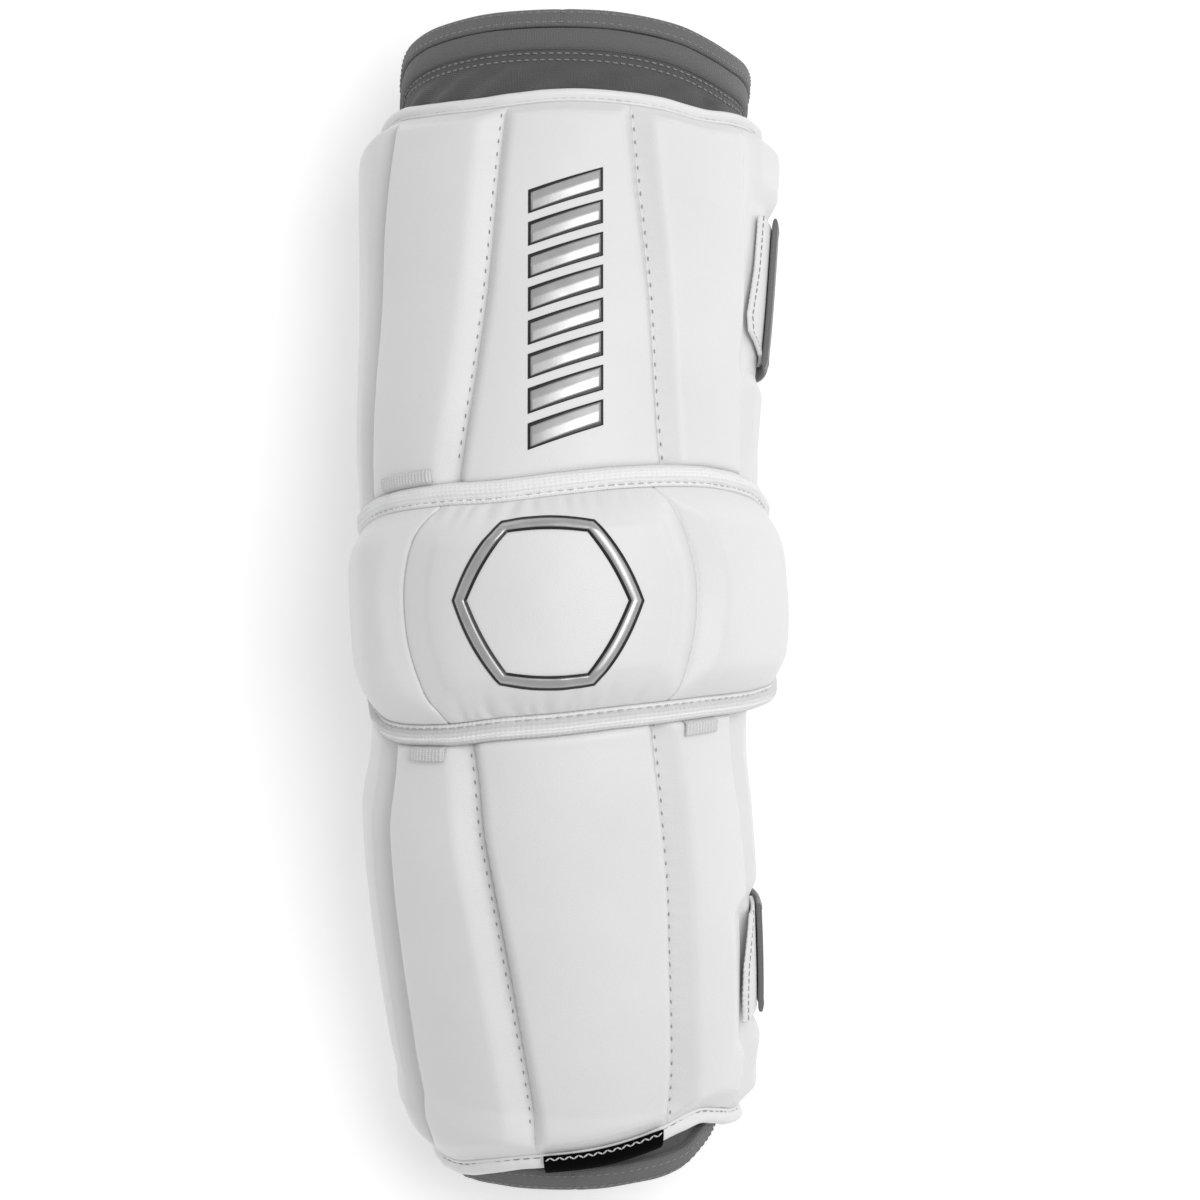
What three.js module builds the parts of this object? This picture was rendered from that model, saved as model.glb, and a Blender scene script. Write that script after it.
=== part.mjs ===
import * as THREE from 'three';

// Lacrosse arm pad, lying on its back with the elbow cap up.
// x runs across the arm, y along it towards the shoulder and z up. Lengths are in millimetres.
// Every piece is built on the sleeve's own surface: a station along the arm, an angle round it
// (0 at the front, positive to the right, in degrees) and a height above the sleeve.

// The sleeve and its bend
const upperReach = 158.4;        // elbow middle to the shoulder rim
const lowerReach = 161.8;        // elbow middle to the wrist rim
const upperRimSlant = 22.4;      // how much lower the shoulder rim lies at the back than in front
const sleeveHalfWidth = 50.8;    // at the shoulder end
const sleeveHalfDepth = 43.5;    // at its deepest
const sleeveWall = 1.6;
const elbowHeight = 64;          // sleeve middle above the floor at the elbow
const upperFall = 0.22;          // slope of the upper arm towards the floor
const lowerFall = 0.28;          // slope of the forearm towards the floor
const elbowRound = 45;           // length over which the bend is spread
const creaseDepth = 1.2;         // folds in the crook of the elbow
const creasePitch = 16;
const creaseReach = 24;          // how far the folds run on each side of the elbow
const creaseStart = 125;         // angle past which the folds begin
const creaseRamp = 20;           // degrees over which they grow

// The cuffs
const cuffBindingHeight = 2.4;   // above and below the sleeve's outside
const upperCuffBindingWidth = 5.4;
const upperCuffWidth = 6;
const upperCuffThickness = 1.4;
const lowerCuffBindingWidth = 7.5;

// The padded panels
const fitGap = 0.4;              // between pieces that lie on each other
const seatGap = 0.8;             // between the sleeve and the pads
const seamGap = 0.5;             // between neighbouring pads
const panelWrap = 110;           // angle at which the panels end on each side
const capWrap = 103;             // the same for the elbow cap
const upperThickness = 10;
const lowerThickness = 12;
const capThickness = 12;
const seamHeight = 5;            // foam left at a stitched seam
const grooveHeight = 6.5;        // foam left at an outer groove
const rimHeight = 4;             // foam left along the edging
const capSeamHeight = 6.5;       // foam left at the cap's seams
const endBevel = 6.5;            // slope at the open ends of the pads
const coveredBevel = 3.5;        // slope at the ends beside the cap
const sideBevel = 8;             // slope at the outer sides of the panels
const grooveBevel = 4.5;         // slopes on both sides of an outer groove
const leftSeamSlopes = { left: 6.5, right: 3 };   // on both sides of the left seam
const rightSeamSlopes = { left: 3.5, right: 5 };
const capSideBevel = 6;          // slopes of the cap's side parts at its seams
const capMiddleBevel = 4;        // and of its middle part
const bevelKnee = 0.45;          // middle line of a slope, as a share of its width
const tongue = 0.8;              // thin end of the panels that shows beside the cap
const tuck = 3;                  // how far the foam reaches in under the cap
const capReach = 30;             // elbow middle to the cap's edge
const capDip = 4.5;              // how far the cap's inside sinks between the two panels
const capDipShare = 0.55;        // length of the dip as a share of capReach
const capDipEnd = 80;            // angle at which the dip ends
const capDipRamp = 25;
const capFlareHeight = 5.5;      // how far the cap's right end stands off the panels
const capFlareShare = 0.65;      // share of it at the elbow's middle
const capFlareLean = 0.4;        // how much more of it there is at the cap's lower edge
const standOffStart = 0.83;      // share of lowerReach at which the lower panel begins to rise
const standOffRun = 0.05;        // over the wrist cuff, and the share that this takes

// The edging
const upperEdging = { width: 4, height: 4.6 };
const lowerEdging = { width: 5, height: 4.6 };
const capEdging = { width: 5.5, height: 4.6 };
const edgingSteps = 22;          // facets of the edging across a panel
const cornerShare = 0.75;        // how far the edging reaches out at a panel's corners

// The straps, tabs, loops and label
const strapThickness = 1.6;
const strapPress = 2.6;          // how far a strap sinks into the foam beside it
const strapMargin = 7;           // length over which the pressed foam recovers
const strapPressStart = 58;      // angle at which the foam begins to sink
const strapPressRamp = 12;
const upperStrap = { middle: 87, width: 43, start: 82 };
const lowerStrap = { middle: -102.5, width: 32, start: 86 };
const strapFrontAngles = [90, 94];
const strapBackAngles = [152, 166, 180, 194, 208, 222, 234];
const tabEnd = 97;               // angle at which the tabs end under their straps
const tabThickness = 1.2;
const loopThickness = 1.2;
const loopShow = 3.6;            // length of a loop that shows beyond the cap
const loopHidden = 3.5;
const labelThickness = 0.8;
const labelStart = -12.5;
const labelEnd = 32;
const labelSteps = 7;            // facets of the label along the edging

// Sections of the sleeve: station as a share of the reach, half width and sideways shift as shares
// of sleeveHalfWidth and half depth as a share of sleeveHalfDepth.
const sleeveSections = [
  { along: -1.02, wide: 0.66, deep: 0.667, shift: 0.07 },
  { along: -0.957, wide: 0.733, deep: 0.724, shift: 0.053 },
  { along: -0.915, wide: 0.752, deep: 0.77, shift: 0.046 },
  { along: -0.74, wide: 0.822, deep: 0.84, shift: 0.018 },
  { along: -0.37, wide: 0.86, deep: 0.92, shift: -0.073 },
  { along: -0.25, wide: 0.837, deep: 0.945, shift: -0.066 },
  { along: 0, wide: 0.886, deep: 0.966, shift: -0.043 },
  { along: 0.27, wide: 0.918, deep: 1, shift: -0.072 },
  { along: 0.5, wide: 0.947, deep: 1, shift: -0.032 },
  { along: 0.7, wide: 0.976, deep: 1, shift: -0.014 },
  { along: 0.85, wide: 0.985, deep: 0.99, shift: 0.005 },
  { along: 0.93, wide: 0.96, deep: 0.975, shift: 0.022 },
  { along: 1.02, wide: 0.955, deep: 0.96, shift: 0.05 },
];

// Shoulder rim: how much lower it lies, as a share of upperRimSlant.
const upperRimDrop = [
  { angle: -180, drop: 1 },
  { angle: -130, drop: 0.72 },
  { angle: -105, drop: 0.4 },
  { angle: -86, drop: 0.12 },
  { angle: -70, drop: -0.01 },
  { angle: -34, drop: -0.05 },
  { angle: 0, drop: -0.025 },
  { angle: 21, drop: 0.01 },
  { angle: 36, drop: 0.07 },
  { angle: 50, drop: 0.155 },
  { angle: 62, drop: 0.215 },
  { angle: 76, drop: 0.23 },
  { angle: 92, drop: 0.31 },
  { angle: 115, drop: 0.55 },
  { angle: 145, drop: 0.83 },
  { angle: 180, drop: 1 },
];

// Wrist rim: station as a share of lowerReach.
const lowerRimReach = [
  { angle: -180, along: 1 },
  { angle: -130, along: 1.025 },
  { angle: -88, along: 1.038 },
  { angle: -65, along: 1.022 },
  { angle: -40, along: 1.008 },
  { angle: -10, along: 1 },
  { angle: 20, along: 0.994 },
  { angle: 50, along: 0.985 },
  { angle: 64, along: 0.962 },
  { angle: 78, along: 0.945 },
  { angle: 95, along: 0.932 },
  { angle: 115, along: 0.94 },
  { angle: 145, along: 0.975 },
  { angle: 180, along: 1 },
];

// Shoulder edge of the upper panel: station as a share of upperReach.
const upperPanelEnd = [
  { angle: -112, along: 0.81 },
  { angle: -90, along: 0.843 },
  { angle: -68, along: 0.865 },
  { angle: -47, along: 0.852 },
  { angle: -28, along: 0.845 },
  { angle: 0, along: 0.852 },
  { angle: 28, along: 0.847 },
  { angle: 43, along: 0.84 },
  { angle: 63, along: 0.852 },
  { angle: 83, along: 0.854 },
  { angle: 112, along: 0.81 },
];

// Wrist edge of the lower panel: station as a share of lowerReach, with a flared right corner.
const lowerPanelEnd = [
  { angle: -112, along: 0.94 },
  { angle: -90, along: 0.982 },
  { angle: -75, along: 1 },
  { angle: -54, along: 0.993 },
  { angle: -38, along: 0.972 },
  { angle: -20, along: 0.95 },
  { angle: 8, along: 0.929 },
  { angle: 32, along: 0.905 },
  { angle: 50, along: 0.891 },
  { angle: 64, along: 0.907 },
  { angle: 78, along: 0.928 },
  { angle: 92, along: 0.932 },
  { angle: 112, along: 0.9 },
];

// Edges of the elbow cap: stations as shares of capReach.
const capRim = [
  { angle: -112, upper: 0.5, lower: -0.74 },
  { angle: -100, upper: 0.66, lower: -0.87 },
  { angle: -90, upper: 0.78, lower: -0.99 },
  { angle: -75, upper: 0.843, lower: -1.14 },
  { angle: -60, upper: 0.9, lower: -1.19 },
  { angle: -36, upper: 0.92, lower: -1.127 },
  { angle: -18, upper: 0.923, lower: -1.043 },
  { angle: 0, upper: 0.973, lower: -0.993 },
  { angle: 20, upper: 1.04, lower: -0.947 },
  { angle: 45, upper: 1.097, lower: -0.933 },
  { angle: 62, upper: 1.097, lower: -0.95 },
  { angle: 75, upper: 1.07, lower: -0.965 },
  { angle: 90, upper: 0.95, lower: -0.93 },
  { angle: 103, upper: 0.75, lower: -0.72 },
  { angle: 112, upper: 0.62, lower: -0.56 },
];

// Seam lines: angles in degrees at stations given as shares of upperReach, lowerReach and capReach.
const upperSeams = [
  { along: 0.16, outerLeft: -72.6, left: -31.5, right: 35, outerRight: 72.5 },
  { along: 0.31, outerLeft: -70.3, left: -26.2, right: 31.8, outerRight: 70.5 },
  { along: 0.48, outerLeft: -67.6, left: -23.1, right: 27.1, outerRight: 68 },
  { along: 0.66, outerLeft: -64.8, left: -20.6, right: 22, outerRight: 63.5 },
  { along: 0.81, outerLeft: -60, left: -18.6, right: 18.3, outerRight: 60 },
  { along: 0.875, outerLeft: -58.5, left: -17.8, right: 17, outerRight: 58.5 },
];
const lowerSeams = [
  { along: -1, outerLeft: -66, left: -15, right: 33.5, outerRight: 71 },
  { along: -0.93, outerLeft: -65, left: -15, right: 34.2, outerRight: 72 },
  { along: -0.83, outerLeft: -64.3, left: -15, right: 35.2, outerRight: 73 },
  { along: -0.73, outerLeft: -64.2, left: -16.5, right: 35.9, outerRight: 75 },
  { along: -0.57, outerLeft: -64, left: -18.8, right: 36.8, outerRight: 77 },
  { along: -0.43, outerLeft: -64, left: -21.5, right: 37.7, outerRight: 77 },
  { along: -0.285, outerLeft: -63.8, left: -25.5, right: 35.9, outerRight: 74 },
  { along: -0.13, outerLeft: -63.6, left: -31.5, right: 30.5, outerRight: 69 },
];
const capSeams = [
  { along: -1.1, left: -31.8, right: 27 },
  { along: -0.92, left: -35, right: 30 },
  { along: -0.66, left: -42, right: 36 },
  { along: -0.33, left: -47, right: 39.5 },
  { along: -0.03, left: -48.4, right: 40.6 },
  { along: 0.22, left: -47.4, right: 39.9 },
  { along: 0.48, left: -43.6, right: 37.1 },
  { along: 0.73, left: -35.8, right: 32.7 },
  { along: 1, left: -30.4, right: 24.3 },
];

// Foam thickness along the panels and round the cap, as shares of their named thickness.
const upperFoam = [
  { along: 0, thick: 1 },
  { along: 1, thick: 1 },
];
const lowerFoam = [
  { along: -0.95, thick: 0.66 },
  { along: -0.85, thick: 0.92 },
  { along: -0.7, thick: 0.98 },
  { along: -0.5, thick: 1 },
  { along: -0.35, thick: 0.95 },
  { along: -0.2, thick: 0.82 },
];
const capFoam = [
  { angle: -100, thick: 0.72 },
  { angle: -75, thick: 0.82 },
  { angle: -50, thick: 0.85 },
  { angle: 0, thick: 1 },
  { angle: 50, thick: 0.95 },
  { angle: 75, thick: 0.8 },
  { angle: 88, thick: 0.69 },
  { angle: 100, thick: 0.64 },
];

// Section of a rolled edging: place across it and height, as shares of its width and height.
const rollOutline = [
  { out: 0, up: 0 },
  { out: 0.95, up: 0 },
  { out: 1, up: 0.45 },
  { out: 0.75, up: 0.88 },
  { out: 0.38, up: 1 },
  { out: 0, up: 0.85 },
];

// The label's way over the lower edging: place inside the edging's outer line as a share of its
// width, drop below the label's top as a share of its height, and the two parts of the
// label's thickness there.
const labelFold = [
  { inside: 1, drop: 0, lean: 0, rise: 1 },
  { inside: 0.45, drop: -0.02, lean: 0, rise: 1 },
  { inside: -0.05, drop: 0.15, lean: 0.8, rise: 0.8 },
  { inside: -0.06, drop: 1.37, lean: 1, rise: 0 },
];

// Rise of the cap's underside towards its right end, as a share of capFlareHeight.
const capFlare = [
  { angle: 42, rise: 0 },
  { angle: 60, rise: 0.15 },
  { angle: 75, rise: 0.55 },
  { angle: 88, rise: 1.2 },
  { angle: 103, rise: 1.4 },
];

// Height of a strap over the pads as it turns round the panel's side, as a share of the foam's top.
const strapRise = [
  { angle: 70, rise: 1 },
  { angle: 98, rise: 1 },
  { angle: 104, rise: 0.95 },
  { angle: 109, rise: 0.78 },
  { angle: 114, rise: 0.6 },
  { angle: 119, rise: 0.4 },
  { angle: 125, rise: 0.2 },
  { angle: 132, rise: 0.07 },
  { angle: 140, rise: 0 },
];

// Slanted front edges of the tabs: place across the strap as a share of half its width.
const upperTabEdge = [
  { across: -0.85, start: 80 },
  { across: -0.66, start: 67.5 },
  { across: -0.45, start: 65.5 },
  { across: 0.2, start: 68.5 },
  { across: 0.9, start: 69 },
];
const lowerTabEdge = [
  { across: -0.9, start: 68 },
  { across: -0.4, start: 68 },
  { across: 0.1, start: 69.5 },
  { across: 0.5, start: 73 },
  { across: 0.95, start: 77.5 },
];

// Loops that show at the cap's edge: side of the cap and angles.
const loops = [
  { name: 'cap_loop_upper_left', side: 1, start: -59, end: -38 },
  { name: 'cap_loop_lower_left', side: -1, start: -50, end: -36 },
  { name: 'cap_loop_lower_right', side: -1, start: 41, end: 55 },
];

const radian = Math.PI / 180;

// Value of one column of a table at a place in another, along a smooth curve through its rows.
function smooth(table, key, column, at) {
  const last = table.length - 1;
  const place = Math.min(Math.max(at, table[0][key]), table[last][key]);
  let row = 0;
  while (row < last - 1 && table[row + 1][key] < place) row += 1;
  const slope = (k) => {
    const low = table[Math.max(k - 1, 0)];
    const high = table[Math.min(k + 1, last)];
    return (high[column] - low[column]) / (high[key] - low[key]);
  };
  const span = table[row + 1][key] - table[row][key];
  const u = (place - table[row][key]) / span;
  const start = (2 * u ** 3 - 3 * u ** 2 + 1) * table[row][column];
  const end = (3 * u ** 2 - 2 * u ** 3) * table[row + 1][column];
  const bendIn = (u ** 3 - 2 * u ** 2 + u) * slope(row) * span;
  const bendOut = (u ** 3 - u ** 2) * slope(row + 1) * span;
  return start + end + bendIn + bendOut;
}

// A station as a share of its reach.
function shareOf(t) {
  return t > 0 ? t / upperReach : t / lowerReach;
}

// Half width, half depth and sideways shift of the sleeve at a station.
function section(t) {
  const along = shareOf(t);
  return {
    wide: sleeveHalfWidth * smooth(sleeveSections, 'along', 'wide', along),
    deep: sleeveHalfDepth * smooth(sleeveSections, 'along', 'deep', along),
    shift: sleeveHalfWidth * smooth(sleeveSections, 'along', 'shift', along),
  };
}

// Length round the sleeve for one degree at a station and angle.
function girth(t, angle) {
  const { wide, deep } = section(t);
  return radian * Math.hypot(wide * Math.cos(angle * radian), deep * Math.sin(angle * radian));
}

// A point above the sleeve before it is laid on the floor.
function freePoint(t, angle, height) {
  const { wide, deep, shift } = section(t);
  const fall = t > 0 ? upperFall : lowerFall;
  const root = Math.hypot(t, elbowRound);
  const slope = -fall * t / root;
  const tilt = Math.hypot(1, slope);
  const s = Math.sin(angle * radian);
  const c = Math.cos(angle * radian);
  const normal = Math.hypot(deep * s, wide * c);
  const across = wide * s + height * deep * s / normal;
  const up = deep * c + height * wide * c / normal;
  const z = elbowHeight - fall * (root - elbowRound) + up / tilt;
  return new THREE.Vector3(shift + across, t - up * slope / tilt, z);
}

// A point above the sleeve, with the underside pressed flat where it rests.
function point(t, angle, height) {
  const place = freePoint(t, angle, height);
  const floor = freePoint(t, angle, cuffBindingHeight).z;
  place.z += Math.max(0, -floor);
  return place;
}

function upperRim(angle) {
  return upperReach - upperRimSlant * smooth(upperRimDrop, 'angle', 'drop', angle);
}

function lowerRim(angle) {
  return -lowerReach * smooth(lowerRimReach, 'angle', 'along', angle);
}

// 0 before start and 1 after start and run.
function ramp(value, start, run) {
  return Math.min(1, Math.max(0, (value - start) / run));
}

function geometryOf(points, faces) {
  const flat = points.flatMap((place) => [place.x, place.y, place.z]);
  let volume = 0;
  for (const [a, b, c] of faces) {
    volume += points[a].dot(new THREE.Vector3().crossVectors(points[b], points[c]));
  }
  const outward = volume > 0 ? faces : faces.map(([a, b, c]) => [a, c, b]);
  const geometry = new THREE.BufferGeometry();
  geometry.setAttribute('position', new THREE.Float32BufferAttribute(flat, 3));
  geometry.setIndex(outward.flat());
  geometry.computeVertexNormals();
  return geometry;
}

// A closed ring of sections, each a closed outline with the same number of points.
function ringBody(sections) {
  const size = sections[0].length;
  const faces = [];
  sections.forEach((outline, i) => {
    const next = (i + 1) % sections.length;
    outline.forEach((corner, j) => {
      const a = i * size + j;
      const b = i * size + (j + 1) % size;
      const c = next * size + (j + 1) % size;
      const d = next * size + j;
      faces.push([a, b, c], [a, c, d]);
    });
  });
  return geometryOf(sections.flat(), faces);
}

// A slab between a lower and an upper net of points with the same rows and columns.
function slabBody(lower, upper) {
  const rows = lower.length;
  const columns = lower[0].length;
  const shift = rows * columns;
  const at = (i, j) => i * columns + j;
  const faces = [];
  for (let i = 0; i < rows - 1; i += 1) {
    for (let j = 0; j < columns - 1; j += 1) {
      const [a, b, c, d] = [at(i, j), at(i, j + 1), at(i + 1, j + 1), at(i + 1, j)];
      faces.push([a + shift, b + shift, c + shift], [a + shift, c + shift, d + shift]);
      faces.push([a, c, b], [a, d, c]);
    }
  }
  const edge = [];
  for (let j = 0; j < columns - 1; j += 1) edge.push(at(0, j));
  for (let i = 0; i < rows - 1; i += 1) edge.push(at(i, columns - 1));
  for (let j = columns - 1; j > 0; j -= 1) edge.push(at(rows - 1, j));
  for (let i = rows - 1; i > 0; i -= 1) edge.push(at(i, 0));
  edge.forEach((a, k) => {
    const b = edge[(k + 1) % edge.length];
    faces.push([a, b, b + shift], [a, b + shift, a + shift]);
  });
  return geometryOf([...lower.flat(), ...upper.flat()], faces);
}

// Angles that go once round the sleeve.
function roundAngles(count) {
  return Array.from({ length: count }, (_, i) => -180 + 360 * i / count);
}

// The sleeve: a tube with folds in the crook of the elbow.
function sleeveBody() {
  const creaseRows = 2 * creaseReach / (creasePitch / 4);
  const crook = Array.from({ length: creaseRows + 1 }, (_, i) => creaseReach * (2 * i / creaseRows - 1));
  const lowShares = [1, 0.86, 0.62, 0.34];
  const highShares = [0.3, 0.53, 0.79, 1];
  const crease = (t, angle) => {
    const side = ramp(Math.abs(angle), creaseStart, creaseRamp);
    const length = Math.max(0, 1 - (t / (creaseReach + creasePitch / 4)) ** 2);
    return creaseDepth * side * length * Math.cos(2 * Math.PI * t / creasePitch);
  };
  const sections = roundAngles(32).map((angle) => {
    const top = upperRim(angle) - upperCuffBindingWidth - fitGap;
    const bottom = lowerRim(angle) + lowerCuffBindingWidth + fitGap;
    const low = lowShares.map((share) => -creaseReach + share * (bottom + creaseReach));
    const high = highShares.map((share) => creaseReach + share * (top - creaseReach));
    const stations = [...low, ...crook, ...high];
    const outside = stations.map((t) => point(t, angle, crease(t, angle)));
    const inside = stations.map((t) => point(t, angle, crease(t, angle) - sleeveWall));
    return [...outside, ...inside.reverse()];
  });
  return ringBody(sections);
}

// A cuff band: its outline is a list of distances from the rim and heights above the sleeve.
function cuffBody(rim, inward, outline) {
  const sections = roundAngles(32).map((angle) => (
    outline.map(([distance, height]) => point(rim(angle) + inward * distance, angle, height))
  ));
  return ringBody(sections);
}

// The folded outline of a cuff binding of a given width.
function foldedOutline(width) {
  const high = cuffBindingHeight;
  const nose = high / 3;
  return [[0, 0], [nose, high], [width, high], [width, -high], [nose, -high]];
}

// The upper panel, the lower panel and the cap: their edges, seams, foam and edging.
const upperPanel = {
  wrap: panelWrap,
  edging: upperEdging,
  top: (angle) => upperReach * smooth(upperPanelEnd, 'angle', 'along', angle),
  bottom: (angle) => capEdge('upper', angle) - tuck - seamGap - upperEdging.width,
  seat: () => seatGap,
  seam: (key, t) => smooth(upperSeams, 'along', key, shareOf(t)),
  foam: (t, angle) => upperThickness * smooth(upperFoam, 'along', 'thick', shareOf(t)) - pressed(t, angle),
  topTongue: 0,
  topBevel: endBevel,
  bottomTongue: tuck + tongue,
  bottomBevel: coveredBevel,
  stations: strapStations(upperStrap),
};
const lowerPanel = {
  wrap: panelWrap,
  edging: lowerEdging,
  top: (angle) => capEdge('lower', angle) + tuck + seamGap + lowerEdging.width,
  bottom: (angle) => -lowerReach * smooth(lowerPanelEnd, 'angle', 'along', angle),
  seat: (t) => seatGap + standOff() * ramp(-t / lowerReach, standOffStart, standOffRun),
  seam: (key, t) => smooth(lowerSeams, 'along', key, shareOf(t)),
  foam: (t, angle) => lowerThickness * smooth(lowerFoam, 'along', 'thick', shareOf(t)) - pressed(t, angle),
  topTongue: tuck + tongue,
  topBevel: coveredBevel,
  bottomTongue: 0,
  bottomBevel: endBevel,
  stations: [...strapStations(lowerStrap), -0.37 * lowerReach],
};
const capPanel = {
  wrap: capWrap,
  edging: capEdging,
  top: (angle) => capEdge('upper', angle),
  bottom: (angle) => capEdge('lower', angle),
  seat: (t, angle) => capSeat() - dipped(t, angle) + flared(t, angle),
  seam: (key, t) => smooth(capSeams, 'along', key, t / capReach),
  foam: (t, angle) => capThickness * smooth(capFoam, 'angle', 'thick', angle) + dipped(t, angle),
  topTongue: 0,
  topBevel: endBevel,
  bottomTongue: 0,
  bottomBevel: endBevel,
  stations: [-0.35, -0.1, 0.15, 0.4].map((share) => share * capReach),
};

function capEdge(side, angle) {
  return capReach * smooth(capRim, 'angle', side, angle);
}

// Height of the cap's underside: it lies on the panels' thin ends, with room for the loops.
function capSeat() {
  return seatGap + Math.max(rimHeight, upperEdging.height, lowerEdging.height) + 2 * fitGap + loopThickness;
}

// Depth of the dip in the cap's underside: the foam fills it, so that its outside stays smooth.
function dipped(t, angle) {
  const along = Math.max(0, 1 - (t / (capDipShare * capReach)) ** 2) ** 2;
  return capDip * along * ramp(-Math.abs(angle), -capDipEnd, capDipRamp);
}

// Rise of the cap's underside at its right end, most towards the wrist.
function flared(t, angle) {
  const share = capFlareShare - capFlareLean * t / capReach;
  return capFlareHeight * smooth(capFlare, 'angle', 'rise', angle) * share;
}

// Height that the lower panel gains where it passes over the wrist cuff's binding.
function standOff() {
  return cuffBindingHeight + fitGap - seatGap;
}

// How far a strap presses the foam in at a station and angle.
function pressed(t, angle) {
  const strap = t > 0 ? upperStrap : lowerStrap;
  const outside = Math.abs(t - strap.middle) - strap.width / 2 - 1;
  const across = ramp(angle, strapPressStart, strapPressRamp);
  return strapPress * ramp(-outside, -strapMargin, strapMargin) * across;
}

function strapStations(strap) {
  const near = strap.width / 2 + 1;
  const far = near + strapMargin;
  return [-far, -near, 0, near, far].map((step) => strap.middle + step);
}

// Height of a pad's outside above the sleeve: flat on top and sloping to its seams and edges.
function padTop(panel, pad, t, angle) {
  const seat = panel.seat(t, angle);
  const full = panel.foam(t, angle);
  const round = girth(t, angle);
  const slopes = [
    [(angle - padLine(panel, pad.from, t)) * round, pad.fromBevel, pad.fromHeight],
    [(padLine(panel, pad.to, t) - angle) * round, pad.toBevel, pad.toHeight],
    [padEnd(panel, 'top', angle) - t - panel.topTongue, panel.topBevel, rimHeight],
    [t - padEnd(panel, 'bottom', angle) - panel.bottomTongue, panel.bottomBevel, rimHeight],
  ];
  const heights = slopes.map(([distance, width, low]) => {
    const base = low + seatDepth(panel, t, angle);
    return base + Math.max(0, full - base) * Math.sin(ramp(distance, 0, width) * Math.PI / 2);
  });
  return seat + Math.min(...heights);
}

function seatDepth(panel, t, angle) {
  return panel === capPanel ? dipped(t, angle) : 0;
}

// Line between two pads, or the side of the foam at the panel's edging.
function padLine(panel, key, t) {
  if (key === 'start') return -panel.wrap;
  if (key === 'end') return panel.wrap;
  return panel.seam(key, t);
}

// Station at which the foam ends, inside the edging.
function padEnd(panel, end, angle) {
  const inset = panel.edging.width + seamGap;
  return end === 'top' ? panel.top(angle) - inset : panel.bottom(angle) + inset;
}

// Gap beside a pad: two pads share a seam's gap, and the edging stands by itself.
function sideGap(key) {
  return key === 'start' || key === 'end' ? seamGap : seamGap / 2;
}

// The nets of a pad: rows follow its ends and fixed stations, columns its seams.
function padBody(panel, pad) {
  const bevels = (tongueLength, width) => [
    ...(tongueLength > 0 ? [0] : []),
    ...[0, bevelKnee * width, width].map((d) => d + tongueLength),
  ];
  const low = bevels(panel.bottomTongue, panel.bottomBevel);
  const high = bevels(panel.topTongue, panel.topBevel);
  const stations = [...panel.stations].sort((a, b) => a - b);
  const rows = [
    ...low.map((d) => (angle) => padEnd(panel, 'bottom', angle) + d),
    ...stations.map((t) => () => t),
    ...high.reverse().map((d) => (angle) => padEnd(panel, 'top', angle) - d),
  ];
  const columns = [
    (from, to, mm) => from + sideGap(pad.from) / mm,
    (from, to, mm) => from + bevelKnee * pad.fromBevel / mm,
    (from, to, mm) => from + pad.fromBevel / mm,
    (from, to, mm) => from + pad.fromBevel / mm + (to - from - (pad.fromBevel + pad.toBevel) / mm) / 3,
    (from, to, mm) => from + pad.fromBevel / mm + (to - from - (pad.fromBevel + pad.toBevel) / mm) * 2 / 3,
    (from, to, mm) => to - pad.toBevel / mm,
    (from, to, mm) => to - bevelKnee * pad.toBevel / mm,
    (from, to, mm) => to - sideGap(pad.to) / mm,
  ];
  const places = rows.map((row) => columns.map((column) => {
    let angle = (padLine(panel, pad.from, 0) + padLine(panel, pad.to, 0)) / 2;
    let t = row(angle);
    for (let turn = 0; turn < 12; turn += 1) {
      const mm = girth(t, angle);
      angle = column(padLine(panel, pad.from, t), padLine(panel, pad.to, t), mm);
      t = row(angle);
    }
    return { t, angle };
  }));
  const lower = places.map((row) => row.map(({ t, angle }) => point(t, angle, panel.seat(t, angle))));
  const upper = places.map((row) => row.map(({ t, angle }) => point(t, angle, padTop(panel, pad, t, angle))));
  return slabBody(lower, upper);
}

// The edging: a rolled strip round the panel's foam.
function edgingBody(panel) {
  const { width, height } = panel.edging;
  const innerTop = (angle) => panel.top(angle) - width;
  const innerBottom = (angle) => panel.bottom(angle) + width;
  const along = [...panel.stations].sort((a, b) => b - a);
  const places = [];
  const corner = (angle, t, side, end) => (
    places.push({ t, angle, side: cornerShare * side, end: cornerShare * end })
  );
  for (let i = 0; i <= edgingSteps; i += 1) {
    const angle = panel.wrap * (2 * i / edgingSteps - 1);
    places.push({ t: innerTop(angle), angle, side: 0, end: 1 });
  }
  corner(panel.wrap, innerTop(panel.wrap), 1, 1);
  for (const t of [innerTop(panel.wrap), ...along, innerBottom(panel.wrap)]) {
    places.push({ t, angle: panel.wrap, side: 1, end: 0 });
  }
  corner(panel.wrap, innerBottom(panel.wrap), 1, -1);
  for (let i = edgingSteps; i >= 0; i -= 1) {
    const angle = panel.wrap * (2 * i / edgingSteps - 1);
    places.push({ t: innerBottom(angle), angle, side: 0, end: -1 });
  }
  corner(-panel.wrap, innerBottom(-panel.wrap), -1, -1);
  for (const t of [innerBottom(-panel.wrap), ...along.reverse(), innerTop(-panel.wrap)]) {
    places.push({ t, angle: -panel.wrap, side: -1, end: 0 });
  }
  corner(-panel.wrap, innerTop(-panel.wrap), -1, 1);
  const sections = places.map(({ t, angle, side, end }) => rollOutline.map(({ out, up }) => {
    const station = t + end * out * width;
    const turn = angle + side * out * width / girth(t, angle);
    return point(station, turn, panel.seat(station, turn) + up * height);
  }));
  return ringBody(sections);
}

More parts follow.
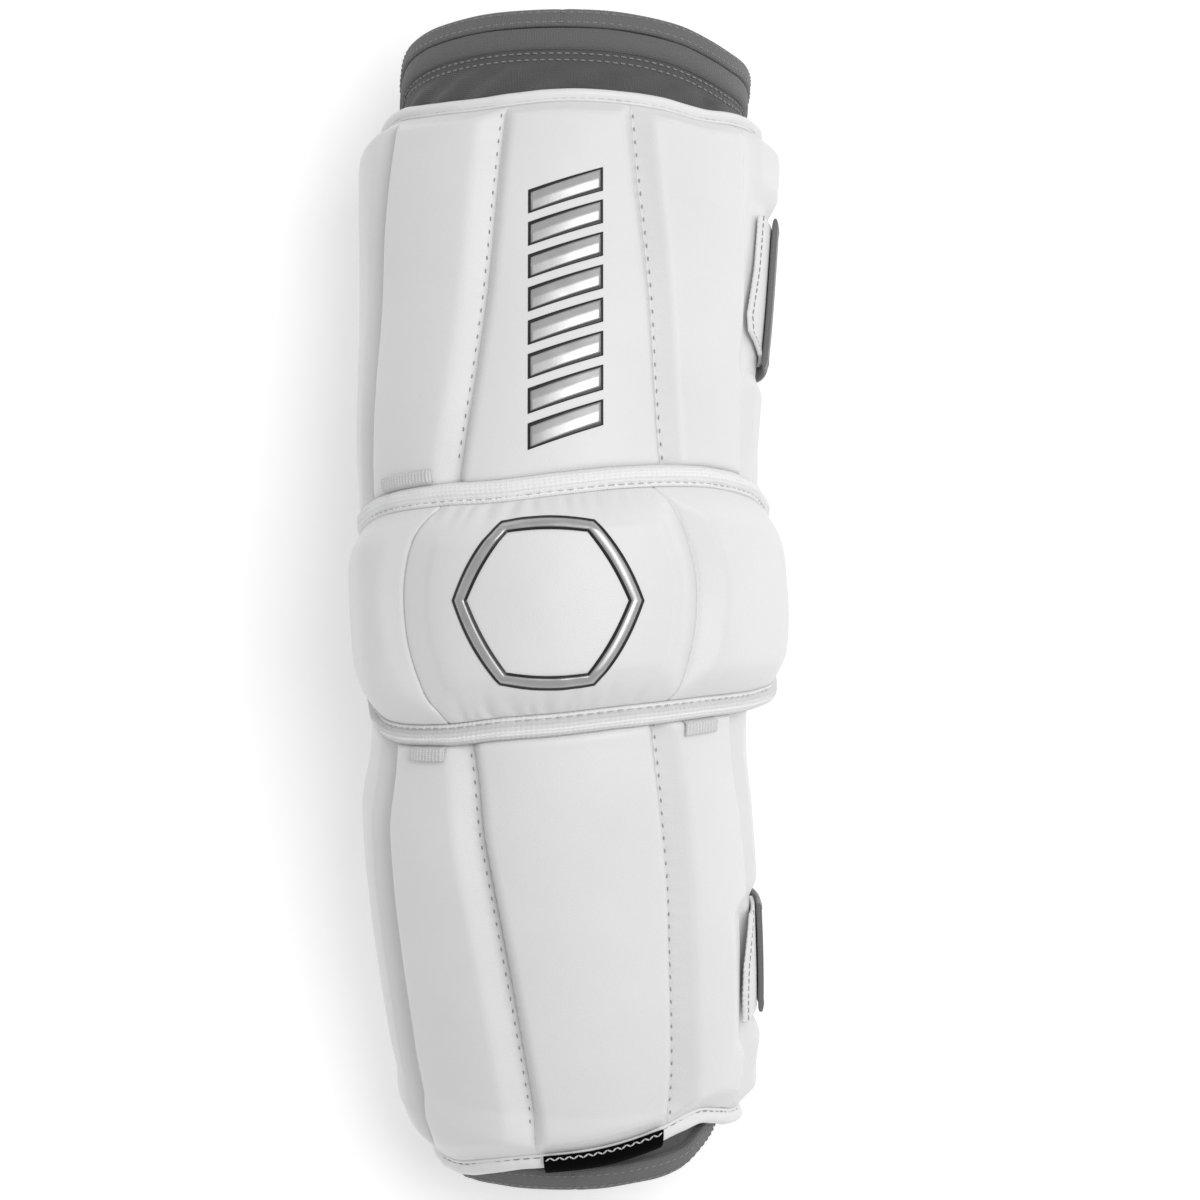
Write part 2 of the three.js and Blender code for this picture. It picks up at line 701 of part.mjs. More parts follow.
// A strap: from its tab over the right side of the panel and round the back to the left edging.
function strapBody(panel, strap) {
  const bends = strapRise.slice(1).map((row) => row.angle);
  const angles = [strap.start, ...strapFrontAngles, ...bends, ...strapBackAngles];
  const lastAngle = 360 - panel.wrap - (panel.edging.width + seamGap) / girth(strap.middle, panel.wrap);
  angles.push(lastAngle);
  const halfWidth = strap.width / 2;
  const foamTop = (t) => panel.seat(t, strap.start) + panel.foam(t, strap.start);
  const height = (t, angle) => {
    const rise = smooth(strapRise, 'angle', 'rise', angle);
    const tabRoom = (tabThickness + fitGap) * rise;
    return fitGap + rise * foamTop(t) + tabRoom;
  };
  const stations = [-1, 0, 1].map((share) => strap.middle + share * halfWidth);
  const side = (thickness) => stations.map((t) => angles.map((angle) => (
    point(t, angle, height(t, angle) + thickness)
  )));
  return slabBody(side(0), side(strapThickness));
}

// A tab: a white plate under the strap's end with a slanted front edge.
function tabBody(panel, strap, edge) {
  const columns = [0, 0.25, 0.5, 0.75, 1];
  const foamTop = (t) => panel.seat(t, strap.start) + panel.foam(t, strap.start) + fitGap;
  const places = edge.map(({ across, start }) => {
    const t = strap.middle + across * strap.width / 2;
    return columns.map((share) => ({ t, angle: start + share * (tabEnd - start) }));
  });
  const lower = places.map((row) => row.map(({ t, angle }) => point(t, angle, foamTop(t))));
  const upper = places.map((row) => row.map(({ t, angle }) => point(t, angle, foamTop(t) + tabThickness)));
  return slabBody(lower, upper);
}

// A woven loop: lies on a panel's end and runs in under the cap's edge.
function loopBody(loop) {
  const panel = loop.side > 0 ? upperPanel : lowerPanel;
  const rim = loop.side > 0 ? 'upper' : 'lower';
  const pads = padsOf(panel);
  const middle = (loop.start + loop.end) / 2;
  const distances = [-loopHidden, -loopHidden / 3, loopShow / 3, loopShow * 2 / 3, loopShow];
  const shares = [0, 1 / 3, 2 / 3, 1];
  const places = distances.map((distance) => shares.map((share) => {
    const angle = loop.start + share * (loop.end - loop.start);
    return { t: capEdge(rim, angle) + loop.side * distance, angle };
  }));
  const pad = pads.find(({ from, to }) => {
    const t = capEdge(rim, middle);
    return padLine(panel, from, t) < middle && middle < padLine(panel, to, t);
  });
  const height = (t, angle) => padTop(panel, pad, t, angle) + fitGap;
  const floor = (t, angle) => Math.max(height(t, angle), panel.seat(t, angle) + panel.edging.height + fitGap);
  const side = (thickness) => places.map((row) => row.map(({ t, angle }) => (
    point(t, angle, floor(t, angle) + thickness)
  )));
  return slabBody(side(0), side(loopThickness));
}

// The label: folded over the edging at the wrist end.
function labelBody() {
  const { width, height } = lowerEdging;
  const top = lowerPanel.seat(-lowerReach) + height + fitGap;
  const share = (i) => i / labelSteps;
  const angles = Array.from({ length: labelSteps + 1 }, (_, i) => (
    THREE.MathUtils.lerp(labelStart, labelEnd, share(i))
  ));
  const side = (thickness) => labelFold.map(({ inside, drop, lean, rise }) => angles.map((angle) => {
    const station = lowerPanel.bottom(angle) + inside * width - lean * thickness - fitGap / 2;
    return point(station, angle, top - drop * height + rise * thickness);
  }));
  return slabBody(side(0), side(labelThickness));
}

// The pads of a panel from left to right.
function padsOf(panel) {
  if (panel === capPanel) {
    const middle = capMiddleBevel;
    return [
      { name: 'cap_pad_left', from: 'start', to: 'left', fromBevel: sideBevel, toBevel: capSideBevel },
      { name: 'cap_pad_middle', from: 'left', to: 'right', fromBevel: middle, toBevel: middle },
      { name: 'cap_pad_right', from: 'right', to: 'end', fromBevel: capSideBevel, toBevel: sideBevel },
    ].map((pad) => ({ ...pad, ...lowHeights(pad, capSeamHeight) }));
  }
  const prefix = panel === upperPanel ? 'upper' : 'lower';
  const a = leftSeamSlopes;
  const b = rightSeamSlopes;
  return [
    { name: `${prefix}_pad_1`, from: 'start', to: 'outerLeft', fromBevel: sideBevel, toBevel: grooveBevel },
    { name: `${prefix}_pad_2`, from: 'outerLeft', to: 'left', fromBevel: grooveBevel, toBevel: a.left },
    { name: `${prefix}_pad_3`, from: 'left', to: 'right', fromBevel: a.right, toBevel: b.left },
    { name: `${prefix}_pad_4`, from: 'right', to: 'outerRight', fromBevel: b.right, toBevel: grooveBevel },
    { name: `${prefix}_pad_5`, from: 'outerRight', to: 'end', fromBevel: grooveBevel, toBevel: sideBevel },
  ].map((pad) => ({ ...pad, ...lowHeights(pad, seamHeight) }));
}

// Foam left at each side of a pad: least at the edging and most at an outer groove.
function lowHeights(pad, stitched) {
  const low = (key) => {
    if (key === 'start' || key === 'end') return rimHeight;
    return key.startsWith('outer') ? grooveHeight : stitched;
  };
  return { fromHeight: low(pad.from), toHeight: low(pad.to) };
}

const material = (color, roughness) => new THREE.MeshStandardMaterial({ color, roughness, metalness: 0 });
const whiteLeather = material('#e6e7e8', 0.42);
const whiteEdging = material('#e9e9ea', 0.5);
const ribbedKnit = material('#dcdddf', 0.85);
const greyKnit = material('#4b4d50', 0.9);
const greyElastic = material('#76787b', 0.88);
const whiteWebbing = material('#e4e4e4', 0.85);
const blackWoven = material('#18181a', 0.8);

const armPad = new THREE.Group();

function add(name, geometry, look) {
  const mesh = new THREE.Mesh(geometry, look);
  mesh.name = name;
  armPad.add(mesh);
}

add('sleeve', sleeveBody(), greyKnit);
add('upper_cuff_binding', cuffBody(upperRim, -1, foldedOutline(upperCuffBindingWidth)), greyElastic);
const cuffStart = upperCuffBindingWidth + fitGap;
const cuffEnd = cuffStart + upperCuffWidth;
const cuffTop = fitGap + upperCuffThickness;
const cuffOutline = [[cuffStart, fitGap], [cuffStart, cuffTop], [cuffEnd, cuffTop], [cuffEnd, fitGap]];
add('upper_cuff', cuffBody(upperRim, -1, cuffOutline), greyKnit);
add('lower_cuff_binding', cuffBody(lowerRim, 1, foldedOutline(lowerCuffBindingWidth)), greyElastic);

for (const panel of [upperPanel, lowerPanel, capPanel]) {
  for (const pad of padsOf(panel)) add(pad.name, padBody(panel, pad), whiteLeather);
}
add('upper_edging', edgingBody(upperPanel), whiteEdging);
add('lower_edging', edgingBody(lowerPanel), whiteEdging);
add('cap_edging', edgingBody(capPanel), ribbedKnit);

for (const loop of loops) add(loop.name, loopBody(loop), whiteWebbing);
add('label', labelBody(), blackWoven);

add('upper_strap', strapBody(upperPanel, upperStrap), greyElastic);
add('lower_strap', strapBody(lowerPanel, lowerStrap), greyElastic);
add('upper_strap_tab', tabBody(upperPanel, upperStrap, upperTabEdge), whiteLeather);
add('lower_strap_tab', tabBody(lowerPanel, lowerStrap, lowerTabEdge), whiteLeather);

// The origin is on the floor under the middle of the whole pad.
const extent = new THREE.Box3().setFromObject(armPad);
const middle = extent.getCenter(new THREE.Vector3());
armPad.position.set(-middle.x, -middle.y, -extent.min.z);

export default armPad;
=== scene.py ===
from math import pi, radians

import bpy
import numpy as np
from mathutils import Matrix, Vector


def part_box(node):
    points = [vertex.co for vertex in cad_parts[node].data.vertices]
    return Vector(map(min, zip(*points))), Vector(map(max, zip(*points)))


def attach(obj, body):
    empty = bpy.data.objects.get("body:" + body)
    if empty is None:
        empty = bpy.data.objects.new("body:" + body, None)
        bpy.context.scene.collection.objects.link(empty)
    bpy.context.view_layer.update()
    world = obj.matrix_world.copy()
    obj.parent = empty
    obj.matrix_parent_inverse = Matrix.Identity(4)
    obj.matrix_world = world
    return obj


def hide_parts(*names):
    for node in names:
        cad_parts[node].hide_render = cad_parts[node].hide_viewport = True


# Looks of a lacrosse arm pad that lies on its back with the elbow cap up.
# Surface places are a station along the arm in mm, an angle round it in degrees (0 in front,
# positive to the right) and a height above the sleeve in mm. Objects are in metres.

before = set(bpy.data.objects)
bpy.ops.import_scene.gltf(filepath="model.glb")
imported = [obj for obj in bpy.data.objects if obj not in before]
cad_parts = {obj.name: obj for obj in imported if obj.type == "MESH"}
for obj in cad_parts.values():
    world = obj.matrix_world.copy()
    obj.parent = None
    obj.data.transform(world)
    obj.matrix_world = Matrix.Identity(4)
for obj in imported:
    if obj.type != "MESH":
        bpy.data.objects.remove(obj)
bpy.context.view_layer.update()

MM = 0.001
PHOTO_SIZE = 1200
PHOTO_SCALE = 340 / 1185        # mm on the object for one pixel of the photo
PHOTO_MIDDLE_X = 570            # pixel column of the sleeve's middle line
PHOTO_MIDDLE_Y = 600.5          # pixel row of the elbow's middle
CAMERA_DISTANCE = 1500          # above the height at which PHOTO_SCALE holds
SCALE_HEIGHT = 62

# Sizes that follow the solids
UPPER_REACH, LOWER_REACH = 158.4, 161.8
UPPER_SLANT = 22.4
HALF_WIDTH, HALF_DEPTH = 50.8, 43.5
SLEEVE_WALL = 1.6
ELBOW_HEIGHT = 64
UPPER_FALL, LOWER_FALL, ELBOW_ROUND = 0.22, 0.28, 45
CUFF_HEIGHT, BAND_HEIGHT = 2.4, 1.8
UPPER_CUFF_BINDING, UPPER_CUFF, LOWER_CUFF_BINDING = 5.4, 6, 7.5
FIT_GAP, SEAT_GAP, SEAM_GAP = 0.4, 0.8, 0.5
PANEL_WRAP, CAP_WRAP = 110, 103
UPPER_FOAM, LOWER_FOAM, CAP_FOAM = 10, 12, 12
RIM_HEIGHT = 4
UPPER_EDGING, LOWER_EDGING, CAP_EDGING, EDGING_HEIGHT = 4.0, 5.0, 5.5, 4.6
TONGUE, TUCK = -0.4, 3
STRAP_THICK, TAB_THICK, LOOP_THICK = 1.6, 1.2, 1.2
CAP_REACH = 30
CAP_SEAT = SEAT_GAP + EDGING_HEIGHT + 2 * FIT_GAP + LOOP_THICK
CAP_FLARE_HEIGHT = 5.5
STAND_OFF_START, STAND_OFF_RUN = 0.83, 0.05
STRAP_PRESS, STRAP_MARGIN = 2.6, 7
UPPER_STRAP = {"middle": 87, "width": 43, "start": 82}
LOWER_STRAP = {"middle": -102.5, "width": 32, "start": 86}
TAB_END = 97


def table(columns, *rows):
    """Rows of numbers as one array for each named column."""
    return dict(zip(columns.split(), np.array(rows, float).T))


SLEEVE = table(
    "along wide deep shift",
    (-1.02, 0.66, 0.667, 0.07), (-0.957, 0.733, 0.724, 0.053), (-0.915, 0.752, 0.77, 0.046),
    (-0.74, 0.822, 0.84, 0.018), (-0.37, 0.86, 0.92, -0.073), (-0.25, 0.837, 0.945, -0.066),
    (0, 0.886, 0.966, -0.043), (0.27, 0.918, 1, -0.072), (0.5, 0.947, 1, -0.032),
    (0.7, 0.976, 1, -0.014), (0.85, 0.985, 0.99, 0.005), (0.93, 0.96, 0.975, 0.022),
    (1.02, 0.955, 0.96, 0.05),
)
UPPER_RIM = table(
    "angle drop",
    (-180, 1), (-130, 0.72), (-105, 0.4), (-86, 0.12), (-70, -0.01), (-34, -0.05), (0, -0.025),
    (21, 0.01), (36, 0.07), (50, 0.155), (62, 0.215), (76, 0.23), (92, 0.31), (115, 0.55),
    (145, 0.83), (180, 1),
)
LOWER_RIM = table(
    "angle along",
    (-180, 1), (-130, 1.025), (-88, 1.038), (-65, 1.022), (-40, 1.008), (-10, 1), (20, 0.994),
    (50, 0.985), (64, 0.962), (78, 0.945), (95, 0.932), (115, 0.94), (145, 0.975), (180, 1),
)
UPPER_END = table(
    "angle along",
    (-112, 0.81), (-90, 0.843), (-68, 0.865), (-47, 0.852), (-28, 0.845), (0, 0.852),
    (28, 0.847), (43, 0.84), (63, 0.852), (83, 0.854), (112, 0.81),
)
LOWER_END = table(
    "angle along",
    (-112, 0.94), (-90, 0.982), (-75, 1), (-54, 0.993), (-38, 0.972), (-20, 0.95),
    (8, 0.929), (32, 0.905), (50, 0.891), (64, 0.907), (78, 0.928), (92, 0.932), (112, 0.9),
)
CAP_RIM = table(
    "angle upper lower",
    (-112, 0.5, -0.74), (-100, 0.66, -0.87), (-90, 0.78, -0.99), (-75, 0.843, -1.14),
    (-60, 0.9, -1.19), (-36, 0.92, -1.127), (-18, 0.923, -1.043), (0, 0.973, -0.993),
    (20, 1.04, -0.947), (45, 1.097, -0.933), (62, 1.097, -0.95), (75, 1.07, -0.965),
    (90, 0.95, -0.93), (103, 0.75, -0.72), (112, 0.62, -0.56),
)
UPPER_SEAMS = table(
    "along outer_left left right outer_right",
    (0.16, -72.6, -31.5, 35, 72.5), (0.31, -70.3, -26.2, 31.8, 70.5),
    (0.48, -67.6, -23.1, 27.1, 68), (0.66, -64.8, -20.6, 22, 63.5), (0.81, -60, -18.6, 18.3, 60),
    (0.875, -58.5, -17.8, 17, 58.5),
)
LOWER_SEAMS = table(
    "along outer_left left right outer_right",
    (-1, -66, -15, 33.5, 71), (-0.93, -65, -15, 34.2, 72), (-0.83, -64.3, -15, 35.2, 73),
    (-0.73, -64.2, -16.5, 35.9, 75), (-0.57, -64, -18.8, 36.8, 77), (-0.43, -64, -21.5, 37.7, 77),
    (-0.285, -63.8, -25.5, 35.9, 74), (-0.13, -63.6, -31.5, 30.5, 69),
)
CAP_SEAMS = table(
    "along left right",
    (-1.1, -31.8, 27), (-0.92, -35, 30), (-0.66, -42, 36), (-0.33, -47, 39.5),
    (-0.03, -48.4, 40.6), (0.22, -47.4, 39.9), (0.48, -43.6, 37.1), (0.73, -35.8, 32.7),
    (1, -30.4, 24.3),
)
LOWER_THICK = table(
    "along thick",
    (-0.95, 0.66), (-0.85, 0.92), (-0.7, 0.98), (-0.5, 1), (-0.35, 0.95), (-0.2, 0.82),
)
CAP_THICK = table(
    "angle thick",
    (-100, 0.68), (-75, 0.78), (-61, 0.92), (-46, 0.8), (-22, 0.92), (0, 1), (50, 0.95),
    (75, 0.8), (88, 0.69), (100, 0.64),
)
CAP_FLARE = table(
    "angle rise",
    (42, 0), (60, 0.15), (75, 0.55), (88, 1.2), (103, 1.4),
)
STRAP_RISE = table(
    "angle rise",
    (70, 1), (98, 1), (104, 0.95), (109, 0.78), (114, 0.6), (119, 0.4), (125, 0.2), (132, 0.07),
    (140, 0),
)
UPPER_TAB = table(
    "across start",
    (-0.85, 80), (-0.66, 67.5), (-0.45, 65.5), (0.2, 68.5), (0.9, 69),
)
LOWER_TAB = table(
    "across start",
    (-0.9, 68), (-0.4, 68), (0.1, 69.5), (0.5, 73), (0.95, 77.5),
)


def smooth(rows, key, column, at):
    """One column at a place in another, on a smooth curve through the rows."""
    x, y = rows[key], rows[column]
    at = np.clip(at, x[0], x[-1])
    row = np.clip(np.searchsorted(x, at) - 1, 0, len(x) - 2)
    slope = np.empty_like(y)
    slope[1:-1] = (y[2:] - y[:-2]) / (x[2:] - x[:-2])
    slope[0] = (y[1] - y[0]) / (x[1] - x[0])
    slope[-1] = (y[-1] - y[-2]) / (x[-1] - x[-2])
    span = x[row + 1] - x[row]
    u = (at - x[row]) / span
    ends = (2 * u**3 - 3 * u**2 + 1) * y[row] + (3 * u**2 - 2 * u**3) * y[row + 1]
    bend = (u**3 - 2 * u**2 + u) * slope[row] + (u**3 - u**2) * slope[row + 1]
    return ends + bend * span


def fade(value, start, end):
    """0 at start, 1 at end, with soft ends."""
    u = np.clip((value - start) / (end - start), 0, 1)
    return u * u * (3 - 2 * u)


def soft_min(a, b, width):
    """The lesser of two values, rounded off where they meet."""
    return (a + b - np.sqrt((a - b) ** 2 + width * width)) / 2


def share_of(t):
    """Station as a share of the reach to its end, from -1 to 1."""
    return np.where(t > 0, t / UPPER_REACH, t / LOWER_REACH)


def section(t):
    """Half width, half depth and sideways shift of the sleeve at a station."""
    along = share_of(t)
    wide = HALF_WIDTH * smooth(SLEEVE, "along", "wide", along)
    deep = HALF_DEPTH * smooth(SLEEVE, "along", "deep", along)
    return wide, deep, HALF_WIDTH * smooth(SLEEVE, "along", "shift", along)


def girth(t, angle):
    """Millimetres round the sleeve for one degree."""
    wide, deep, _ = section(t)
    turn = np.radians(angle)
    return radians(1) * np.hypot(wide * np.cos(turn), deep * np.sin(turn))


def free_point(t, angle, height):
    """Points in mm above the sleeve's oval, which follows the bend at the elbow."""
    wide, deep, shift = section(t)
    fall = np.where(t > 0, UPPER_FALL, LOWER_FALL)
    root = np.hypot(t, ELBOW_ROUND)
    slope = -fall * t / root
    tilt = np.hypot(1, slope)
    s, c = np.sin(np.radians(angle)), np.cos(np.radians(angle))
    normal = np.hypot(deep * s, wide * c)
    across = wide * s + height * deep * s / normal
    up = deep * c + height * wide * c / normal
    z = ELBOW_HEIGHT - fall * (root - ELBOW_ROUND) + up / tilt
    return np.stack([shift + across, t - up * slope / tilt, z], -1)


ORIGIN = np.zeros(3)


def place(t, angle, height):
    """Points in metres in the frame, with the underside pressed flat on the floor."""
    t, angle, height = np.broadcast_arrays(*(np.asarray(v, float) for v in (t, angle, height)))
    spots = free_point(t, angle, height)
    spots[..., 2] += np.maximum(0, -free_point(t, angle, CUFF_HEIGHT)[..., 2])
    return (spots - ORIGIN) * MM


def upper_rim(angle):
    return UPPER_REACH - UPPER_SLANT * smooth(UPPER_RIM, "angle", "drop", angle)


def lower_rim(angle):
    return -LOWER_REACH * smooth(LOWER_RIM, "angle", "along", angle)


def settle_origin():
    """Moves the surface so that the shoulder cuff lies where its solid lies."""
    angle = np.arange(-180, 180, 11.25)
    rim = upper_rim(angle)
    nose = CUFF_HEIGHT / 3
    outline = [(0, 0)]
    for high in (CUFF_HEIGHT, -CUFF_HEIGHT):
        outline += [(nose, high), (UPPER_CUFF_BINDING, high)]
    spots = np.concatenate([place(rim - back, angle, high) for back, high in outline])
    low, high = (np.array(corner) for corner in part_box("upper_cuff_binding"))
    ORIGIN[:] = ((spots.min(0) + spots.max(0)) / 2 - (low + high) / 2) / MM


settle_origin()


# Meshes from nets of points

def added(name, data):
    made = bpy.data.objects.new(name, data)
    bpy.context.scene.collection.objects.link(made)
    return made


def mesh_object(name, points, faces, uv):
    """A smooth mesh from points in metres, faces and texture coordinates."""
    mesh = bpy.data.meshes.new(name)
    mesh.from_pydata(points.reshape(-1, 3).tolist(), [], faces.tolist())
    mesh.polygons.foreach_set("use_smooth", np.ones(len(mesh.polygons), bool))
    layer = mesh.uv_layers.new(name="UVMap")
    corner = np.empty(len(mesh.loops), int)
    mesh.loops.foreach_get("vertex_index", corner)
    layer.data.foreach_set("uv", uv.reshape(-1, 2)[corner].astype(np.float32).ravel())
    mesh.update()
    return added(name, mesh)


def net_faces(rows, columns, close_rows=False, close_columns=False, start=0):
    """Faces between the neighbouring points of a net."""
    i = np.arange(rows if close_rows else rows - 1)
    j = np.arange(columns if close_columns else columns - 1)
    i, j = np.meshgrid(i, j, indexing="ij")
    down, right = (i + 1) % rows, (j + 1) % columns
    corners = [i * columns + j, i * columns + right, down * columns + right, down * columns + j]
    return np.stack(corners, -1).reshape(-1, 4) + start


def outward(points, faces):
    """The faces turned so that those of a closed body or of a bent sheet look out."""
    flat = points.reshape(-1, 3)
    a, b, c, d = (flat[faces[:, k]] - flat.mean(0) for k in range(4))
    volume = np.einsum("ij,ij->i", a, np.cross(b, c) + np.cross(c, d)).sum()
    return faces if volume > 0 else faces[:, ::-1]


def net_lengths(points):
    """Lengths along the rows and columns of a net, in metres, as texture coordinates."""
    across = np.linalg.norm(np.diff(points, axis=1, prepend=points[:, :1]), axis=2).cumsum(1)
    along = np.linalg.norm(np.diff(points, axis=0, prepend=points[:1]), axis=2).cumsum(0)
    return np.stack([across, along], -1)


def slab(name, lower, upper):
    """A closed slab between two nets."""
    rows, columns = lower.shape[:2]
    size = rows * columns
    top = net_faces(rows, columns, start=size)
    bottom = net_faces(rows, columns)[:, ::-1]
    edge = np.concatenate([
        np.arange(columns),
        np.arange(1, rows) * columns + columns - 1,
        (rows - 1) * columns + np.arange(columns - 2, -1, -1),
        np.arange(rows - 2, 0, -1) * columns,
    ])
    after = np.roll(edge, -1)
    side = np.stack([edge, after, after + size, edge + size], -1)
    points = np.stack([lower, upper])
    uv = np.stack([net_lengths(lower), net_lengths(upper)])
    return mesh_object(name, points, outward(points, np.concatenate([top, bottom, side])), uv)


def ring(name, sections):
    """A closed ring of closed sections: the net's rows are the sections."""
    faces = net_faces(*sections.shape[:2], close_rows=True, close_columns=True)
    return mesh_object(name, sections, outward(sections, faces), net_lengths(sections))


def finish_piece(piece, material, replaced=()):
    """A piece with its material, slot and the solids that it stands for."""
    piece.data.materials.append(material)
    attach(piece, "root")
    if replaced:
        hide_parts(*replaced)
    return piece


def ripples(x, y, wavelength, seed=7, count=7):
    """Soft uneven waves of about one millimetre height for millimetre places x and y."""
    random = np.random.default_rng(seed)
    total = np.zeros(np.broadcast(x, y).shape)
    for _ in range(count):
        turn, phase = random.uniform(0, 2 * pi, 2)
        pitch = wavelength * random.uniform(0.7, 1.5)
        total += np.sin(2 * pi * (x * np.cos(turn) + y * np.sin(turn)) / pitch + phase)
    return total / np.sqrt(2 * count)


# Materials

class Look:
    """A procedural material and the few node helpers that it needs."""

    def __init__(self, name, color, roughness, **sockets):
        self.material = bpy.data.materials.new(name)
        self.material.use_nodes = True
        self.tree = self.material.node_tree
        self.shader = self.tree.nodes["Principled BSDF"]
        self.shader.inputs["Base Color"].default_value = (*color, 1)
        self.shader.inputs["Roughness"].default_value = roughness
        for socket, value in sockets.items():
            self.shader.inputs[socket.replace("_", " ")].default_value = value
        self.bump = None

    def node(self, kind, **values):
        made = self.tree.nodes.new(kind)
        for key, value in values.items():
            if key in made.inputs:
                made.inputs[key].default_value = value
            else:
                setattr(made, key, value)
        return made

    def link(self, source, target):
        self.tree.links.new(source, target)

    def texture(self, kind, coordinates, output, **values):
        made = self.node(kind, **values)
        source = self.node("ShaderNodeTexCoord")
        self.link(source.outputs[coordinates], made.inputs["Vector"])
        return made.outputs[output]

    def noise(self, scale, detail):
        return self.texture("ShaderNodeTexNoise", "Object", "Fac", Scale=scale, Detail=detail)

    def cells(self, scale):
        return self.texture("ShaderNodeTexVoronoi", "Object", "Distance", Scale=scale,
                            feature="DISTANCE_TO_EDGE")

    def waves(self, pitch, direction):
        """Bands across the texture coordinates u or v, one every pitch metres."""
        return self.texture("ShaderNodeTexWave", "UV", "Fac", bands_direction=direction,
                            Scale=0.314 / pitch, Distortion=0)

    def math(self, operation, first, second):
        made = self.node("ShaderNodeMath", operation=operation)
        for socket, value in zip(made.inputs, (first, second)):
            if isinstance(value, (int, float)):
                socket.default_value = value
            else:
                self.link(value, socket)
        return made.outputs[0]

    def raise_by(self, height, distance, strength):
        bump = self.node("ShaderNodeBump", Distance=distance, Strength=strength)
        self.link(height, bump.inputs["Height"])
        if self.bump:
            self.link(self.bump, bump.inputs["Normal"])
        self.bump = bump.outputs["Normal"]
        self.link(self.bump, self.shader.inputs["Normal"])

    def tint(self, factor, low, high, low_color, high_color):
        """Colour between two shades as the factor goes from low to high."""
        ramp = self.node("ShaderNodeValToRGB")
        ends = ((low, low_color), (high, high_color))
        for element, (at, color) in zip(ramp.color_ramp.elements, ends):
            element.position = at
            element.color = (*color, 1)
        self.link(factor, ramp.inputs["Fac"])
        self.link(ramp.outputs["Color"], self.shader.inputs["Base Color"])

    def rough_by(self, factor, low, high):
        span = self.node("ShaderNodeMapRange")
        span.inputs["To Min"].default_value = low
        span.inputs["To Max"].default_value = high
        self.link(factor, span.inputs["Value"])
        self.link(span.outputs["Result"], self.shader.inputs["Roughness"])


def grey(value):
    return (value, value, value)


def shade(color, factor):
    return tuple(c * factor for c in color)


def leather_look(name, color, grain=0.00012):
    """Coated leather: soft dents, a grain of small cells, and faint patches."""
    look = Look(name, color, 0.42, Specular_IOR_Level=0.4)
    look.raise_by(look.noise(90, 2), 0.0004, 0.35)
    look.raise_by(look.cells(1100), grain, 0.55)
    look.raise_by(look.noise(2600, 4), grain / 2, 0.5)
    patches = look.noise(28, 4)
    look.tint(patches, 0.3, 0.75, shade(color, 0.965), shade(color, 1.01))
    look.rough_by(look.noise(60, 5), 0.36, 0.52)
    return look.material


def knit_look(name, color, pitch=0.0009, contrast=0.3, sheen=0.2, gloss=0.2):
    """Fine jersey: rows of loops in both directions with a soft sheen."""
    look = Look(name, color, 0.9, Sheen_Weight=sheen, Sheen_Roughness=0.5,
                Specular_IOR_Level=gloss)
    loops = look.math("MULTIPLY", look.waves(pitch, "X"), look.waves(pitch * 1.3, "Y"))
    fuzz = look.noise(3200, 3)
    look.raise_by(loops, 0.00025, 0.8)
    look.raise_by(fuzz, 0.00012, 0.5)
    mixed = look.math("ADD", look.math("MULTIPLY", loops, 0.6), look.math("MULTIPLY", fuzz, 0.5))
    look.tint(mixed, 0.1, 0.9, shade(color, 1 - contrast), shade(color, 1 + contrast))
    return look.material


def print_look(name, color, metallic):
    """A thin moulded print: smooth, with faint grain and wear."""
    look = Look(name, color, 0.36, Metallic=metallic)
    look.raise_by(look.noise(1500, 3), 0.00004, 0.5)
    look.tint(look.noise(140, 3), 0.3, 0.7, shade(color, 0.9), shade(color, 1.08))
    look.rough_by(look.noise(220, 4), 0.3, 0.46)
    return look.material


def elastic_look(name, color, rib=0.0013, yarn=0.0006, contrast=0.25):
    """Woven elastic: ribs across and finer yarns along."""
    look = Look(name, color, 0.85, Sheen_Weight=0.3, Sheen_Roughness=0.45,
                Specular_IOR_Level=0.25)
    ribs = look.waves(rib, "X")
    yarns = look.waves(yarn, "Y")
    woven = look.math("ADD", look.math("MULTIPLY", ribs, 0.7), look.math("MULTIPLY", yarns, 0.3))
    look.raise_by(woven, 0.0003, 0.8)
    look.raise_by(look.noise(3000, 3), 0.0001, 0.5)
    look.tint(woven, 0.1, 0.95, shade(color, 1 - contrast), shade(color, 1 + contrast))
    return look.material


LEATHER = leather_look("white coated leather", grey(0.802))
EDGING = leather_look("white leather strip", grey(0.82), 0.00008)
RIBBED = elastic_look("ribbed knit binding", grey(0.93), 0.0012, 0.0008, 0.03)
DARK_KNIT = knit_look("dark stretch knit", grey(0.11), 0.0006, 0.1)
BAND = knit_look("dark cuff band", grey(0.152), 0.0006, 0.1)
CUFF = knit_look("grey folded elastic", grey(0.166), 0.0007, 0.12)
STRAP = elastic_look("grey strap elastic", grey(0.215), 0.0014, 0.0007)
WEBBING = elastic_look("white loop webbing", grey(0.69), 0.0012, 0.0006, 0.1)
LABEL = knit_look("black woven label", grey(0.003), 0.0005, 0.5, 0.0, 0.04)
THREAD = elastic_look("white thread", grey(0.72), 0.0005, 0.0003, 0.1)
# Painted shade: grey beads along the seams stand in for the shade inside the stitch holes.
PAINTED_HOLE_SHADE = knit_look("painted shade of stitch holes", grey(0.41), 0.0005, 0.2, 0.0)
SHADE_THREAD = knit_look("shaded thread", grey(0.62), 0.0005, 0.2, 0.0)
GREY_THREAD = elastic_look("grey thread", grey(0.33), 0.0005, 0.0003, 0.1)
DULL_THREAD = elastic_look("dull grey thread", grey(0.27), 0.0005, 0.0003, 0.1)
BAND_THREAD = elastic_look("band thread", grey(0.3), 0.0005, 0.0003, 0.1)
SILVER = print_look("silver print", grey(0.503), 0.7)
BLACK = print_look("black print", grey(0.012), 0.0)


# The padded panels

